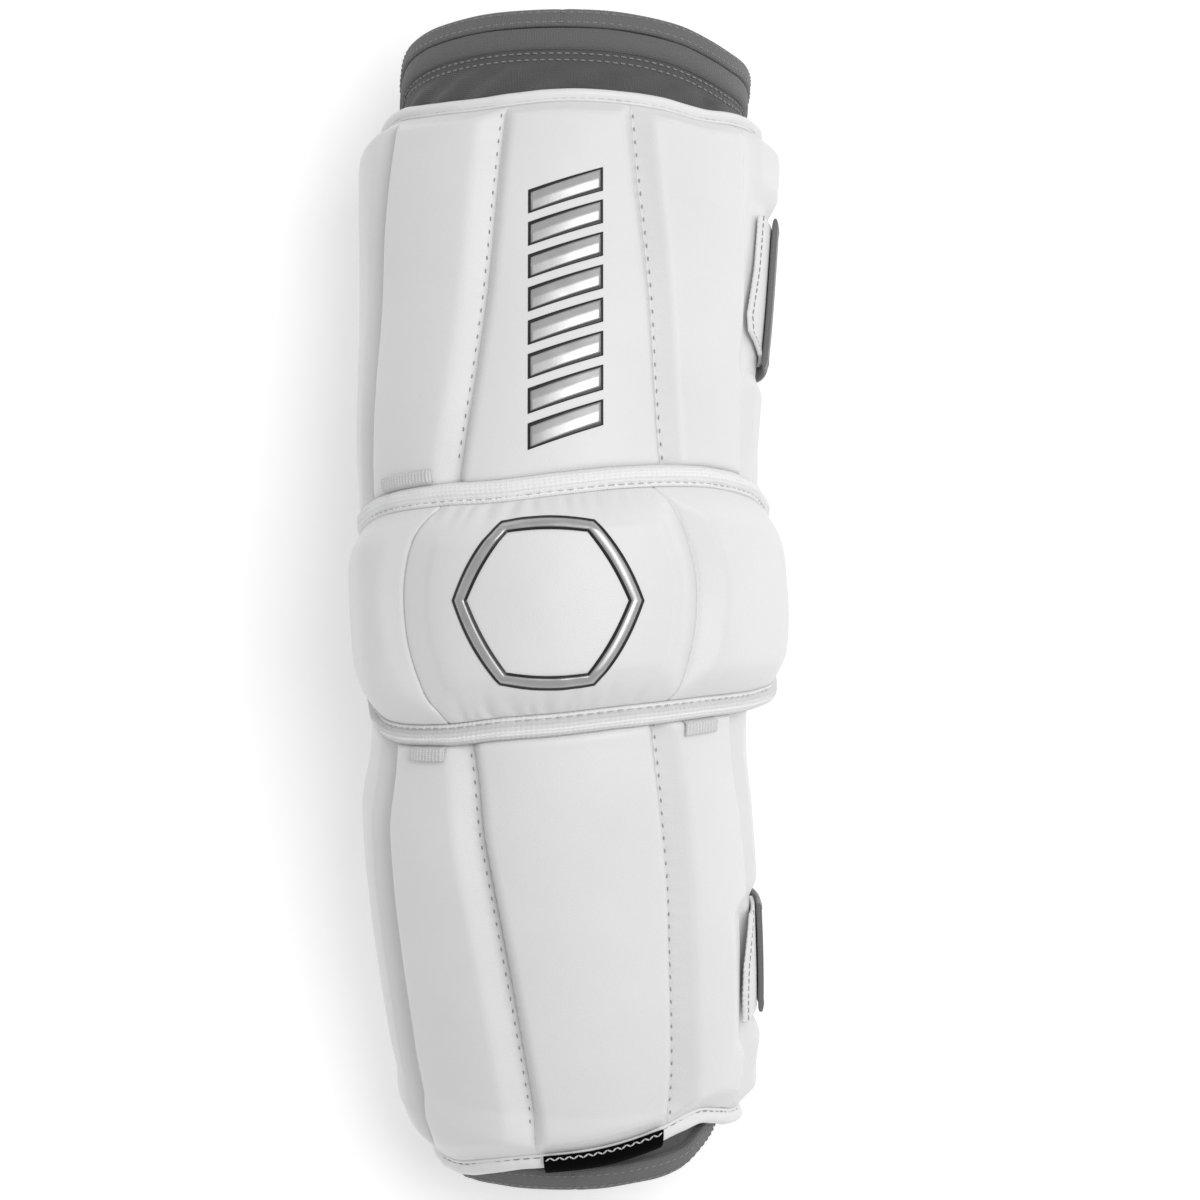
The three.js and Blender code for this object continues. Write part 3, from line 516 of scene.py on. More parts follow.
def cap_edge(side, angle):
    """Station of the cap's upper or lower edge."""
    return CAP_REACH * smooth(CAP_RIM, "angle", side, angle)


def pressed(t, angle):
    """Foam pressed in under the straps."""
    middle = np.where(t > 0, UPPER_STRAP["middle"], LOWER_STRAP["middle"])
    half = np.where(t > 0, UPPER_STRAP["width"], LOWER_STRAP["width"]) / 2
    outside = np.abs(t - middle) - half - 1
    return STRAP_PRESS * fade(outside, STRAP_MARGIN, 0) * fade(angle, 58, 70)


def cap_flare(t, angle):
    """The cap's right side stands off the arm."""
    rise = smooth(CAP_FLARE, "angle", "rise", angle)
    return CAP_FLARE_HEIGHT * rise * (0.65 - 0.4 * t / CAP_REACH)


def stand_off(t):
    """The lower panel rises over the wrist cuff."""
    share = np.clip((-t / LOWER_REACH - STAND_OFF_START) / STAND_OFF_RUN, 0, 1)
    return (CUFF_HEIGHT + FIT_GAP - SEAT_GAP) * share


def hem_flare(t, angle):
    """The lower hem's right corner turns out a little."""
    return 2.4 * np.exp(-(((angle - 88) / 10) ** 2)) * fade(-t, 139, 150)


UPPER = {
    "name": "upper",
    "wrap": PANEL_WRAP,
    "edging": UPPER_EDGING,
    "top": lambda angle: UPPER_REACH * smooth(UPPER_END, "angle", "along", angle),
    "bottom": lambda angle: cap_edge("upper", angle) - TUCK - SEAM_GAP - UPPER_EDGING,
    "seat": lambda t, angle: SEAT_GAP + 0 * t,
    "foam": lambda t, angle: UPPER_FOAM - pressed(t, angle),
    "seam": lambda key, t: smooth(UPPER_SEAMS, "along", key, share_of(t)),
    "tongues": (0, TUCK + TONGUE),
    "end_slopes": (4.5, 1.2),
    "end_soft": 0.7,
}
LOWER = {
    "name": "lower",
    "wrap": PANEL_WRAP,
    "edging": LOWER_EDGING,
    "top": lambda angle: cap_edge("lower", angle) + TUCK + SEAM_GAP + LOWER_EDGING,
    "bottom": lambda angle: -LOWER_REACH * smooth(LOWER_END, "angle", "along", angle),
    "seat": lambda t, angle: SEAT_GAP + stand_off(t) + hem_flare(t, angle),
    "foam": lambda t, angle: LOWER_FOAM * smooth(LOWER_THICK, "along", "thick", share_of(t))
    - pressed(t, angle),
    "seam": lambda key, t: smooth(LOWER_SEAMS, "along", key, share_of(t)),
    "tongues": (TUCK + TONGUE, 0),
    "end_slopes": (1.2, 6),
    "end_soft": 0.7,
}
CAP = {
    "name": "cap",
    "wrap": CAP_WRAP,
    "edging": CAP_EDGING,
    "top": lambda angle: cap_edge("upper", angle),
    "bottom": lambda angle: cap_edge("lower", angle),
    "seat": lambda t, angle: CAP_SEAT + cap_flare(t, angle),
    "foam": lambda t, angle: CAP_FOAM * smooth(CAP_THICK, "angle", "thick", angle),
    "seam": lambda key, t: smooth(CAP_SEAMS, "along", key, t / CAP_REACH),
    "tongues": (0, 0),
    "end_slopes": (7, 7),
    "end_soft": 2.2,
}

# Pads from left to right: their two lines, the widths of the slopes beside these lines and the
# foam left there.
PANEL_PADS = [
    ("start", "outer_left", 8, 4.5, RIM_HEIGHT, 6.3),
    ("outer_left", "left", 4.5, 6.2, 6.3, 5.8),
    ("left", "right", 3.2, 3.4, 5.8, 4.6),
    ("right", "outer_right", 4.8, 4.5, 4.6, 6.3),
    ("outer_right", "end", 4.5, 8, 6.3, RIM_HEIGHT),
]
CAP_PADS = [
    ("start", "left", 8, 5.6, RIM_HEIGHT, 7.3),
    ("left", "right", 12, 6, 7.3, 6.5),
    ("right", "end", 5.5, 8, 6.5, RIM_HEIGHT),
]


def pad_line(panel, key, t):
    """Angle of a seam or of a panel's side at a station."""
    if key == "start":
        return np.full(np.shape(t), -float(panel["wrap"]))
    if key == "end":
        return np.full(np.shape(t), float(panel["wrap"]))
    return panel["seam"](key, t)


def pad_bounds(panel, pads, t, owner):
    """Angles of the two lines of each place's own pad."""
    return [np.choose(owner, [pad_line(panel, pad[k], t) for pad in pads]) for k in (0, 1)]


def pad_end(panel, end, angle):
    """Station at which the cover meets the edging."""
    inset = panel["edging"] + 0.12
    return panel["top"](angle) - inset if end == "top" else panel["bottom"](angle) + inset


def crowd(reach, length, step):
    """Distances that lie close together near both ends of a length: (from, to, share) rows."""
    near = reach * np.linspace(0, 1, 9) ** 1.35
    count = max(int((length - 2 * reach) / step), 2)
    inner = np.linspace(0, 1, count + 1)[1:-1]
    rows = [(d, reach, 0) for d in near] + [(reach, reach, s) for s in inner]
    return np.array(rows + [(reach, d, 1) for d in near[::-1]])


def panel_net(panel, pads, step=0.85):
    """Stations, angles and pad numbers of a panel's net, whose columns follow the seams."""
    middle = (pad_end(panel, "top", 0.0) + pad_end(panel, "bottom", 0.0)) / 2
    columns, owner = [], []
    for number, (start, end, *_) in enumerate(pads):
        span = float(pad_line(panel, end, middle) - pad_line(panel, start, middle))
        spread = crowd(6.5, span * float(girth(middle, 45.0)), step)
        columns.append(spread)
        owner += [number] * len(spread)
    columns, owner = np.concatenate(columns), np.array(owner)
    rows = crowd(7, float(pad_end(panel, "top", 0.0) - pad_end(panel, "bottom", 0.0)), step)
    angle = np.tile(np.linspace(-1, 1, len(columns)) * panel["wrap"], (len(rows), 1))
    low_d, high_d, share = (rows[:, k, None] for k in range(3))
    from_d, to_d, across = (columns[None, :, k] for k in range(3))
    for _ in range(14):
        low = pad_end(panel, "bottom", angle) + low_d
        high = pad_end(panel, "top", angle) - high_d
        t = low + (high - low) * share
        size = girth(t, angle)
        start, end = pad_bounds(panel, pads, t, owner)
        left, right = start + from_d / size, end - to_d / size
        angle = left + (right - left) * across
    return t, angle, owner, start, end


def pad_height(panel, pads, t, angle, owner, start, end):
    """Height of the cover over the seat, with bevels, seam valleys and gathers."""
    slopes = np.array([pad[2:6] for pad in pads], float)[owner]
    full = panel["foam"](t, angle)
    size = girth(t, angle)
    from_d, to_d = (angle - start) * size, (end - angle) * size
    top_d = pad_end(panel, "top", angle) - t
    low_d = t - pad_end(panel, "bottom", angle)
    top_tongue, low_tongue = panel["tongues"]
    top_slope, low_slope = panel["end_slopes"]
    crown = 0.5 * np.clip(4 * from_d * to_d / (from_d + to_d) ** 2, 0, 1)
    height = full - 0.3 + crown
    sides = [
        (from_d, slopes[..., 0], slopes[..., 2], 0, 0.4),
        (to_d, slopes[..., 1], slopes[..., 3], 0, 0.4),
        (top_d, top_slope, RIM_HEIGHT, top_tongue, panel["end_soft"]),
        (low_d, low_slope, RIM_HEIGHT, low_tongue, panel["end_soft"]),
    ]
    for distance, slope, low, tongue, soft in sides:
        run = np.maximum(distance - tongue, 0) / slope
        height = soft_min(height, low + (full - low) * run * 1.04, soft)
    return height, from_d, to_d, top_d, low_d


def creased_height(panel, pads, t, angle, owner, start, end):
    """Height of the cover with its puckers, gathers and small ripples."""
    height, from_d, to_d, top_d, low_d = pad_height(panel, pads, t, angle, owner, start, end)
    along = girth(t, 0.0) * angle
    height += 0.16 * stitch_dimples(panel, pads, t, owner, from_d, to_d)
    height -= 0.7 * groove_lines(panel, pads, owner, from_d, to_d)
    height += 0.10 * ripples(along, t, 26, 3) + 0.03 * ripples(along, t, 9, 4)
    if panel is CAP:
        middle_part = (owner == 1) * 1.0
        height += hem_gathers(top_d, along, 4.9, (0.14 + 0.75 * middle_part), 11)
        height += hem_gathers(low_d, along, 4.4, (0.14 + 0.95 * middle_part), 12)
        inner = np.minimum(np.minimum(from_d, to_d), np.minimum(top_d, low_d))
        height += 0.7 * middle_part * fade(inner, 7.2, 9.4)
    else:
        height += hem_gathers(top_d, along, 7.5, 0.12, 13)
        height += hem_gathers(low_d, along, 7.5, 0.12, 14)
    return height


def cover_height(panel, pads, t, angle):
    """Height above the sleeve of a panel's cover at any place on it."""
    t, angle = np.broadcast_arrays(np.asarray(t, float), np.asarray(angle, float))
    lines = np.stack([pad_line(panel, pad[0], t) for pad in pads])
    owner = np.clip((angle >= lines).sum(0) - 1, 0, len(pads) - 1)
    height = creased_height(panel, pads, t, angle, owner, *pad_bounds(panel, pads, t, owner))
    return panel["seat"](t, angle) + height


def stitch_dimples(panel, pads, t, owner, from_d, to_d):
    """The cover pulls in at each stitch and puffs up a little between stitches."""
    stitched = {"left", "right"} if panel is not CAP else set()
    total = np.zeros_like(t)
    for distance, keys in ((from_d, 0), (to_d, 1)):
        sewn = np.array([pad[keys] in stitched for pad in pads])[owner]
        total += sewn * np.exp(-((distance / 1.6) ** 2)) * np.cos(2 * pi * t / STITCH_PITCH)
    return total


def groove_lines(panel, pads, owner, from_d, to_d):
    """The sharp fold at each line that shows no stitches."""
    total = np.zeros_like(from_d)
    for distance, end in ((from_d, 0), (to_d, 1)):
        folded = np.array([pad[end].startswith("outer") or panel is CAP for pad in pads])[owner]
        total += folded * np.exp(-((distance / 0.3) ** 2))
    return total


STITCH_PITCH = 3.8
GATHER_REACH = 110


def hem_gathers(distance, along, pitch, depth, seed):
    """Uneven short creases that run in from a hem and die out, with small puffs between."""
    random = np.random.default_rng(seed)
    total = np.zeros(np.broadcast(distance, along).shape)
    at = -GATHER_REACH
    while at < GATHER_REACH:
        at += pitch * random.uniform(0.6, 1.5)
        length, width = random.uniform(2.2, 6.5), random.uniform(0.6, 1.1)
        lean, deep = random.uniform(-0.35, 0.35), random.uniform(0.35, 1.0)
        away = (along - at - lean * distance) / (width * (1 + 0.1 * distance))
        shape = np.exp(-(away**2)) - 0.45 * np.exp(-((np.abs(away) - 1.9) ** 2))
        total -= deep * shape * np.exp(-((distance / length) ** 2))
    return depth * total * np.clip(distance / 1.0, 0, 1)


def cover(panel, pads, name, replaced):
    """The leather over one panel's foam, as one sheet with turned-down sides."""
    t, angle, owner, start, end = panel_net(panel, pads)
    height = creased_height(panel, pads, t, angle, owner, start, end)
    seat = panel["seat"](t, angle)
    net = place(t, angle, seat + height)
    turned = place(t, angle, seat + 0.2)
    net = np.concatenate([turned[:1], net, turned[-1:]])
    left, right = net[:, :1].copy(), net[:, -1:].copy()
    left[1:-1, 0], right[1:-1, 0] = turned[:, 0], turned[:, -1]
    net = np.concatenate([left, net, right], 1)
    faces = outward(net, net_faces(*net.shape[:2]))
    piece = mesh_object(name, net, faces, net_lengths(net))
    return finish_piece(piece, LEATHER, replaced)


cover(UPPER, PANEL_PADS, "upper_cover", [f"upper_pad_{k}" for k in range(1, 6)])
cover(LOWER, PANEL_PADS, "lower_cover", [f"lower_pad_{k}" for k in range(1, 6)])
cover(CAP, CAP_PADS, "cap_cover", ["cap_pad_left", "cap_pad_middle", "cap_pad_right"])


# Edging round the panels

ROLL = table(
    "out up",
    (0, 0.35), (0, 0.74), (0.04, 0.84), (0.14, 0.86), (0.22, 0.78), (0.3, 0.86), (0.42, 0.97),
    (0.58, 1.02), (0.76, 0.97), (0.91, 0.78), (1, 0.48), (0.96, 0.16), (0.84, 0), (0.1, 0),
)


def edge_walk(panel, step):
    """Places round a panel: station, angle and the direction out of it (side, end)."""
    width, wrap = panel["edging"], panel["wrap"]
    across = np.linspace(-wrap, wrap, int(2 * wrap * 0.85 / step))
    top = panel["top"](across) - width
    bottom = panel["bottom"](across) + width
    fan = np.linspace(0, pi / 2, 9)[1:-1]

    def side(first, last, angle, out):
        t = np.linspace(first, last, max(int(abs(last - first) / step), 2))
        return np.stack([t, t * 0 + angle, t * 0 + out, t * 0], 1)

    def corner(t, angle, first, second):
        turn = np.outer(np.cos(fan), first) + np.outer(np.sin(fan), second)
        return np.column_stack([fan * 0 + t, fan * 0 + angle, turn])

    return np.concatenate([
        np.stack([top, across, across * 0, across * 0 + 1], 1),
        corner(top[-1], wrap, (0, 1), (1, 0)),
        side(top[-1], bottom[-1], wrap, 1),
        corner(bottom[-1], wrap, (1, 0), (0, -1)),
        np.stack([bottom, across, across * 0, across * 0 - 1], 1)[::-1],
        corner(bottom[0], -wrap, (0, -1), (-1, 0)),
        side(bottom[0], top[0], -wrap, -1),
        corner(top[0], -wrap, (-1, 0), (0, 1)),
    ])


def edging_place(panel, walk, out, up):
    """Points on the edging: out and up are shares of its width and height."""
    width = panel["edging"]
    t = walk[:, 0] + walk[:, 3] * out * width
    angle = walk[:, 1] + walk[:, 2] * out * width / girth(walk[:, 0], walk[:, 1])
    return place(t, angle, panel["seat"](t, angle) + up * EDGING_HEIGHT)


def edging(panel, name, material, rib=0.0):
    """The rolled edging round a panel, with ribs where rib gives their height."""
    step = 0.42 if rib else 0.9
    walk = edge_walk(panel, step)
    sections = []
    travel = np.arange(len(walk)) * step
    wave = rib * np.cos(2 * pi * travel / 1.3)
    wave = wave + 0.03 * ripples(travel, travel * 0, 9) + 0.03 * ripples(travel, travel * 0, 25)
    for out, up in zip(ROLL["out"], ROLL["up"]):
        swell = wave * (0.3 + up) * (1 if up > 0.2 else 0)
        sections.append(edging_place(panel, walk, out + 0.3 * swell * (out - 0.5), up + swell))
    piece = ring(name, np.stack(sections, 1))
    return finish_piece(piece, material, [f"{panel['name']}_edging"])


edging(UPPER, "upper_roll", EDGING)
edging(LOWER, "lower_roll", EDGING)
edging(CAP, "cap_roll", RIBBED, rib=0.02)


# The sleeve and its cuffs


def crook_folds(t, angle):
    """Folds across the crook of the elbow, which fade out round its sides."""
    side = fade(np.abs(angle), 118, 150)
    length = np.maximum(0, 1 - (t / 30) ** 2)
    bent = t + 2.5 * np.sin(np.radians(angle * 3)) + 1.2 * np.sin(np.radians(angle * 7))
    folds = np.cos(2 * pi * bent / 16) + 0.3 * np.cos(2 * pi * bent / 7.3 + 1)
    return 1.2 * side * length * folds


def shoulder_wrinkles(t, angle):
    """Slanted gathers between the shoulder cuff and the upper panel."""
    back = upper_rim(angle) - t
    window = fade(back, 15.5, 18.5) * fade(back, 40, 26)
    slanted = t * 0.8 - girth(t, 0.0) * angle * 0.45
    waves = np.sin(slanted * 2 * pi / 9 + 1.5 * ripples(angle * 0.9, t * 0.5, 40, 5))
    return window * (0.75 * waves + 0.35 * ripples(angle * 0.9, t, 13))


def sleeve():
    """The knit tube, with its inside."""
    angle = np.linspace(-180, 180, 241)[:-1]
    share = np.concatenate([np.linspace(0, 0.8, 170), np.linspace(0.8, 1, 60)[1:]])
    low = lower_rim(angle) + LOWER_CUFF_BINDING - 2
    high = upper_rim(angle) - UPPER_CUFF_BINDING + 2
    t = low + (high - low) * share[:, None]
    angle = np.tile(angle, (len(share), 1))
    folds = crook_folds(t, angle) + shoulder_wrinkles(t, angle)
    folds = folds + 0.1 * ripples(angle * 0.8, t, 18)
    outside = place(t, angle, folds)
    inside = place(t[::2], angle[::2], folds[::2] - SLEEVE_WALL)[::-1]
    sections = np.concatenate([outside, inside]).transpose(1, 0, 2)
    piece = ring("sleeve_tube", sections)
    return finish_piece(piece, DARK_KNIT, ["sleeve"])


FOLD = table(
    "back high",
    (0, 0), (0.02, 0.35), (0.07, 0.68), (0.16, 0.9), (0.3, 1), (0.55, 1), (0.8, 0.97),
    (0.95, 0.9), (1, 0.7), (1, -0.8), (0.8, -1), (0.3, -1), (0.12, -0.85), (0.03, -0.4),
)
BAND_FOLD = table(
    "back high",
    (0, 0), (0, 0.7), (0.04, 0.95), (0.12, 1), (0.4, 0.98), (0.65, 0.7), (0.85, 0),
    (0.96, -0.9), (1, -1.7), (0.95, -1.8), (0.8, -1.2), (0.3, -1), (0.05, -0.95), (0, -0.6),
)


def cuff(name, rim, inward, start, width, low, high, material, replaced, fold, joint):
    """A band round the sleeve: the rows of a fold scaled to its width and height."""
    angle = np.linspace(-180, 180, 361)[:-1]
    middle, half = (low + high) / 2, (high - low) / 2
    sections = []
    wobble = 0.12 * ripples(angle * 0.8, angle * 0, 20)
    seam = 0.35 * np.exp(-(((angle - joint) / 0.9) ** 2))
    seam = seam - 0.12 * fade(np.abs(angle - joint - 3), 3, 1)
    for back, up in zip(fold["back"], fold["high"]):
        t = rim(angle) + inward * (start + back * width + wobble * (1 - back))
        sections.append(place(t, angle, middle + half * up - seam * (up > 0)))
    piece = ring(name, np.stack(sections, 1))
    return finish_piece(piece, material, replaced)


sleeve()
cuff("shoulder_rim", upper_rim, -1, 0, UPPER_CUFF_BINDING, -CUFF_HEIGHT, CUFF_HEIGHT, CUFF,
     ["upper_cuff_binding"], FOLD, -5)
cuff("shoulder_band", upper_rim, -1, UPPER_CUFF_BINDING + FIT_GAP, UPPER_CUFF, FIT_GAP,
     BAND_HEIGHT, BAND, ["upper_cuff"], BAND_FOLD, 170)
cuff("wrist_rim", lower_rim, 1, 0, LOWER_CUFF_BINDING, -CUFF_HEIGHT, CUFF_HEIGHT, CUFF,
     ["lower_cuff_binding"], FOLD, -3)


# Stitches

BEAD = table("along size", (-1, 0.25), (-0.7, 0.8), (0, 1), (0.7, 0.8), (1, 0.25))


def unit(vectors):
    return vectors / np.linalg.norm(vectors, axis=1)[:, None]


def stitches(name, spots, tangents, normals, length, width, height, material):
    """Short rounded stitches at spots, all sizes in millimetres. None reaches into the floor."""
    spots[:, 2] = np.maximum(spots[:, 2], height / 2 * MM)
    side = np.cross(normals, tangents)
    turn = np.linspace(0, 2 * pi, 7)[:-1]
    rings = []
    for along, size in zip(BEAD["along"], BEAD["size"]):
        centre = spots + tangents * along * length / 2 * MM
        circle = (side[:, None] * np.cos(turn)[:, None] * width
                  + normals[:, None] * np.sin(turn)[:, None] * height) * size / 2 * MM
        rings.append(centre[:, None] + circle)
    points = np.stack(rings, 1)
    count = len(spots)
    each = net_faces(len(rings), len(turn), close_columns=True)
    first = np.arange(count) * len(rings) * len(turn)
    faces = (each[None] + first[:, None, None]).reshape(-1, 4)
    piece = mesh_object(name, points, faces, points[..., :2])
    return finish_piece(piece, material)


def sewn_line(name, t, angle, height, pitch, length, width, thick, material):
    """Stitches every pitch millimetres along a line of surface places."""
    low, high = place(t, angle, height), place(t, angle, height + 1.0)
    steps = np.linalg.norm(np.diff(low, axis=0), axis=1)
    travel = np.concatenate([[0], steps.cumsum()]) / MM
    at = np.arange(pitch / 2, travel[-1], pitch)

    def along(places, where):
        return np.stack([np.interp(where, travel, places[:, k]) for k in range(3)], 1)

    tangents = unit(along(low, at + 0.3) - along(low, at - 0.3))
    ups = unit(along(high - low, at))
    ups = unit(ups - tangents * np.einsum("ij,ij->i", ups, tangents)[:, None])
    return stitches(name, along(low, at), tangents, ups, length, width, thick, material)


def seam_stitches(panel, key):
    """The stitch holes beside a panel's seam, drawn as grey beads: painted shade in the holes."""
    t = np.linspace(pad_end(panel, "bottom", 0.0) + 7, pad_end(panel, "top", 0.0) - 1.5, 260)
    aside = 0.9 if key == "left" else -0.5
    angle = panel["seam"](key, t) - aside / girth(t, 0.0)
    height = cover_height(panel, PANEL_PADS, t, angle) + 0.06
    name = f"{panel['name']}_{key}_hole_shade"
    # The grey of these beads is painted shade of the holes, not a thread colour.
    sewn_line(name, t, angle, height, STITCH_PITCH, 1.25, 0.55, 0.3, PAINTED_HOLE_SHADE)


def edging_stitches(panel, end, out, pitch, length, material, thick=0.35):
    """The row of stitches along the edging at a panel's top or bottom."""
    angle = np.linspace(-84, 84, 500)
    sign = 1 if end == "top" else -1
    inner = panel[end](angle) - sign * panel["edging"]
    t = inner + sign * out * panel["edging"]
    up = np.interp(out, ROLL["out"][1:10], ROLL["up"][1:10])
    height = panel["seat"](t, angle) + up * EDGING_HEIGHT + 0.06
    name = f"{panel['name']}_{end}_hem"
    sewn_line(name, t, angle, height, pitch, length, 0.45, thick, material)


def cuff_stitches(name, rim, inward, back, high, pitch, material):
    """A row of stitches round a cuff, at a distance back from its rim."""
    angle = np.linspace(-180, 180, 720)
    sewn_line(name, rim(angle) + inward * back, angle, angle * 0 + high, pitch, 1.5, 0.5, 0.35,
              material)


for panel in (UPPER, LOWER):
    for key in ("left", "right"):
        seam_stitches(panel, key)
edging_stitches(UPPER, "top", 0.22, 2.6, 1.9, THREAD)
edging_stitches(LOWER, "bottom", 0.22, 3.2, 2.1, GREY_THREAD)
edging_stitches(CAP, "top", 0.16, 2.9, 2.0, SHADE_THREAD, thick=0.25)
edging_stitches(CAP, "bottom", 0.16, 2.9, 2.0, SHADE_THREAD, thick=0.25)
cuff_stitches("shoulder_rim_row_1", upper_rim, -1, 1.5, CUFF_HEIGHT, 2.4, DULL_THREAD)
cuff_stitches("shoulder_rim_row_2", upper_rim, -1, 4.3, CUFF_HEIGHT - 0.04, 2.4, DULL_THREAD)
cuff_stitches("shoulder_band_row_1", upper_rim, -1, 12.9, 0.5, 2.3, BAND_THREAD)
cuff_stitches("shoulder_band_row_2", upper_rim, -1, 14.8, 0.4, 2.3, BAND_THREAD)
cuff_stitches("wrist_rim_row_1", lower_rim, 1, 1.6, CUFF_HEIGHT, 2.4, DULL_THREAD)
cuff_stitches("wrist_rim_row_2", lower_rim, 1, 5.2, CUFF_HEIGHT, 2.4, DULL_THREAD)


# Straps, tabs, loops and label

def foam_top(panel, t):
    """Height of the pressed foam under a strap."""
    angle = np.full(np.shape(t), 80.0)
    return panel["seat"](t, angle) + panel["foam"](t, angle)


def round_edge(across, edge=0.12):
    """1 in the middle of a strip and less at its two edges (across from -1 to 1)."""
    return np.sqrt(np.clip(1 - np.clip((np.abs(across) - 1 + edge) / edge, 0, 1) ** 2, 0, 1))


def strap_seat(panel, t, angle):
    """Height of a strap's underside: over the tab at its ends, on the sleeve at the back."""
    lifted = foam_top(panel, t) + TAB_THICK + FIT_GAP
    return FIT_GAP + smooth(STRAP_RISE, "angle", "rise", angle) * lifted


def strap(panel, size, name):
    """A strap round the back, with a woven line near each edge."""
    hem = (panel["edging"] + SEAM_GAP) / girth(float(size["middle"]), 110.0)
    angle = np.linspace(size["start"], float(360 - panel["wrap"] - hem), 196)
    across = np.sin(np.linspace(-pi / 2, pi / 2, 33))
    t = size["middle"] + across[:, None] * size["width"] / 2 + 0 * angle
    turn = np.broadcast_to(angle, t.shape)
    middle = strap_seat(panel, t, turn) + STRAP_THICK / 2
    half = STRAP_THICK / 2 * (0.25 + 0.75 * round_edge(across)[:, None])
    piece = slab(name, place(t, turn, middle - half), place(t, turn, middle + half))
    for row, share in enumerate((-0.88, 0.88)):
        line = size["middle"] + share * size["width"] / 2 + 0 * angle
        high = strap_seat(panel, line, angle) + STRAP_THICK + 0.02
        sewn_line(f"{name}_row_{row}", line, angle, high, 2.4, 1.6, 0.45, 0.3, BAND)
    return finish_piece(piece, STRAP, [name.replace("_band", "")])


def tab(panel, size, edge, name):
    """A leather tab under a strap's end, with a toothed edge and a row of stitches."""
    across = np.linspace(edge["across"][0], edge["across"][-1], 60)
    start = np.interp(across, edge["across"], edge["start"])
    share = np.linspace(0, 1, 60) ** 1.2
    saw = 0.35 * np.abs((across * size["width"] / 2 / 1.6) % 1 - 0.5) * 2
    t = (size["middle"] + across * size["width"] / 2)[:, None] + 0 * share
    size_mm = girth(t, 80.0)
    reach = share * (TAB_END - start[:, None])
    turn = start[:, None] + saw[:, None] / size_mm + reach
    lift = 0.9 * np.exp(-(reach * size_mm / 5) ** 2)
    base = foam_top(panel, t) + FIT_GAP + 0.6 * lift
    from_edge = np.minimum(reach * size_mm, 3)
    rounded = 0.4 + 0.6 * np.clip(from_edge / 0.9, 0, 1) ** 0.5
    top = base + TAB_THICK * rounded - 0.3 * np.exp(-(((from_edge - 1.8) / 0.5) ** 2))
    piece = slab(name, place(t, turn, base), place(t, turn, top))
    inset = start + 1.9 / girth(size["middle"] + 0 * start, 80.0)
    line = size["middle"] + across * size["width"] / 2
    high = foam_top(panel, line) + FIT_GAP + 0.45 + TAB_THICK - 0.1
    sewn_line(f"{name}_stitches", line, inset, high, 2.2, 1.6, 0.5, 0.4, GREY_THREAD)
    return finish_piece(piece, LEATHER, [name.replace("_plate", "")])


def loop(side, start, end, name):
    """A short woven loop that comes out from under the cap; side is 1 above it and -1 below."""
    panel, rim = (UPPER, "upper") if side > 0 else (LOWER, "lower")
    angle = np.linspace(start, end, 36)
    out = np.linspace(-3.5, 3.6, 26)
    t = cap_edge(rim, angle)[None] + side * out[:, None]
    turn = np.broadcast_to(angle, t.shape)
    middle = (start + end) / 2
    starts = [float(pad_line(panel, pad[0], t[13, 18])) for pad in PANEL_PADS]
    number = int(np.searchsorted(starts, middle)) - 1
    owner = np.full(len(angle), number)
    bounds = pad_bounds(panel, PANEL_PADS, t, owner)
    height = pad_height(panel, PANEL_PADS, t, turn, owner, *bounds)[0]
    base = panel["seat"](t, turn) + np.maximum(height, EDGING_HEIGHT) + 0.3
    across = (turn - middle) / (end - start) * 2
    half = LOOP_THICK / 2 * (0.3 + 0.7 * round_edge(across, 0.2))
    nose = round_edge(np.clip(out / 3.6, 0, 1), 0.35)[:, None]
    half = half * (0.35 + 0.65 * nose)
    mid = base + LOOP_THICK / 2
    piece = slab(name, place(t, turn, mid - half), place(t, turn, mid + half))
    return finish_piece(piece, WEBBING, [name.replace("_band", "")])


def label():
    """The woven label folded over the lower edging, with its zigzag of stitches."""
    angle = np.linspace(-12.5, 32, 70)
    width = LOWER["edging"]
    top = float(LOWER["seat"](-LOWER_REACH, 0)) + EDGING_HEIGHT + FIT_GAP
    path = table(
        "inside high",
        (width, top), (0.75 * width, top + 0.12), (0.45 * width, top + 0.15),
        (0.15 * width, top - 0.05), (-0.02 * width, top - 0.7), (-0.25, top - 1.8), (-0.35, 1.6),
    )
    travel = np.linspace(0, len(path["inside"]) - 1, 40)
    rows = np.arange(len(path["inside"]))
    inside = np.interp(travel, rows, path["inside"])
    high = np.interp(travel, rows, path["high"])[:, None]
    t = LOWER["bottom"](angle)[None] + inside[:, None] - FIT_GAP / 2
    lean = np.clip((0.3 * width - inside) / (0.3 * width), 0, 1)[:, None]
    turn = np.broadcast_to(angle, t.shape)
    lower = place(t, turn, high + 0 * t)
    upper = place(t - 0.6 * lean, turn, high + 0.6 * (1 - 0.6 * lean) + 0 * t)
    piece = slab("wrist_label", lower, upper)
    zig = np.linspace(-11.8, 31.3, 26)
    hem = LOWER["bottom"](zig)
    line = hem + 0.78 * width + 0.45 * np.where(np.arange(26) % 2, 1, -1)
    spots = place(line, zig, top + 0.85)
    mids, ahead = (spots[1:] + spots[:-1]) / 2, np.diff(spots, axis=0)
    length = float(np.linalg.norm(ahead, axis=1).mean() / MM) * 0.95
    ups = unit(place(hem[1:], zig[1:], 2.0) - place(hem[1:], zig[1:], 1.0))
    stitches("wrist_label_stitches", mids, unit(ahead), ups, length, 0.5, 0.4, THREAD)
    return finish_piece(piece, LABEL, ["label"])


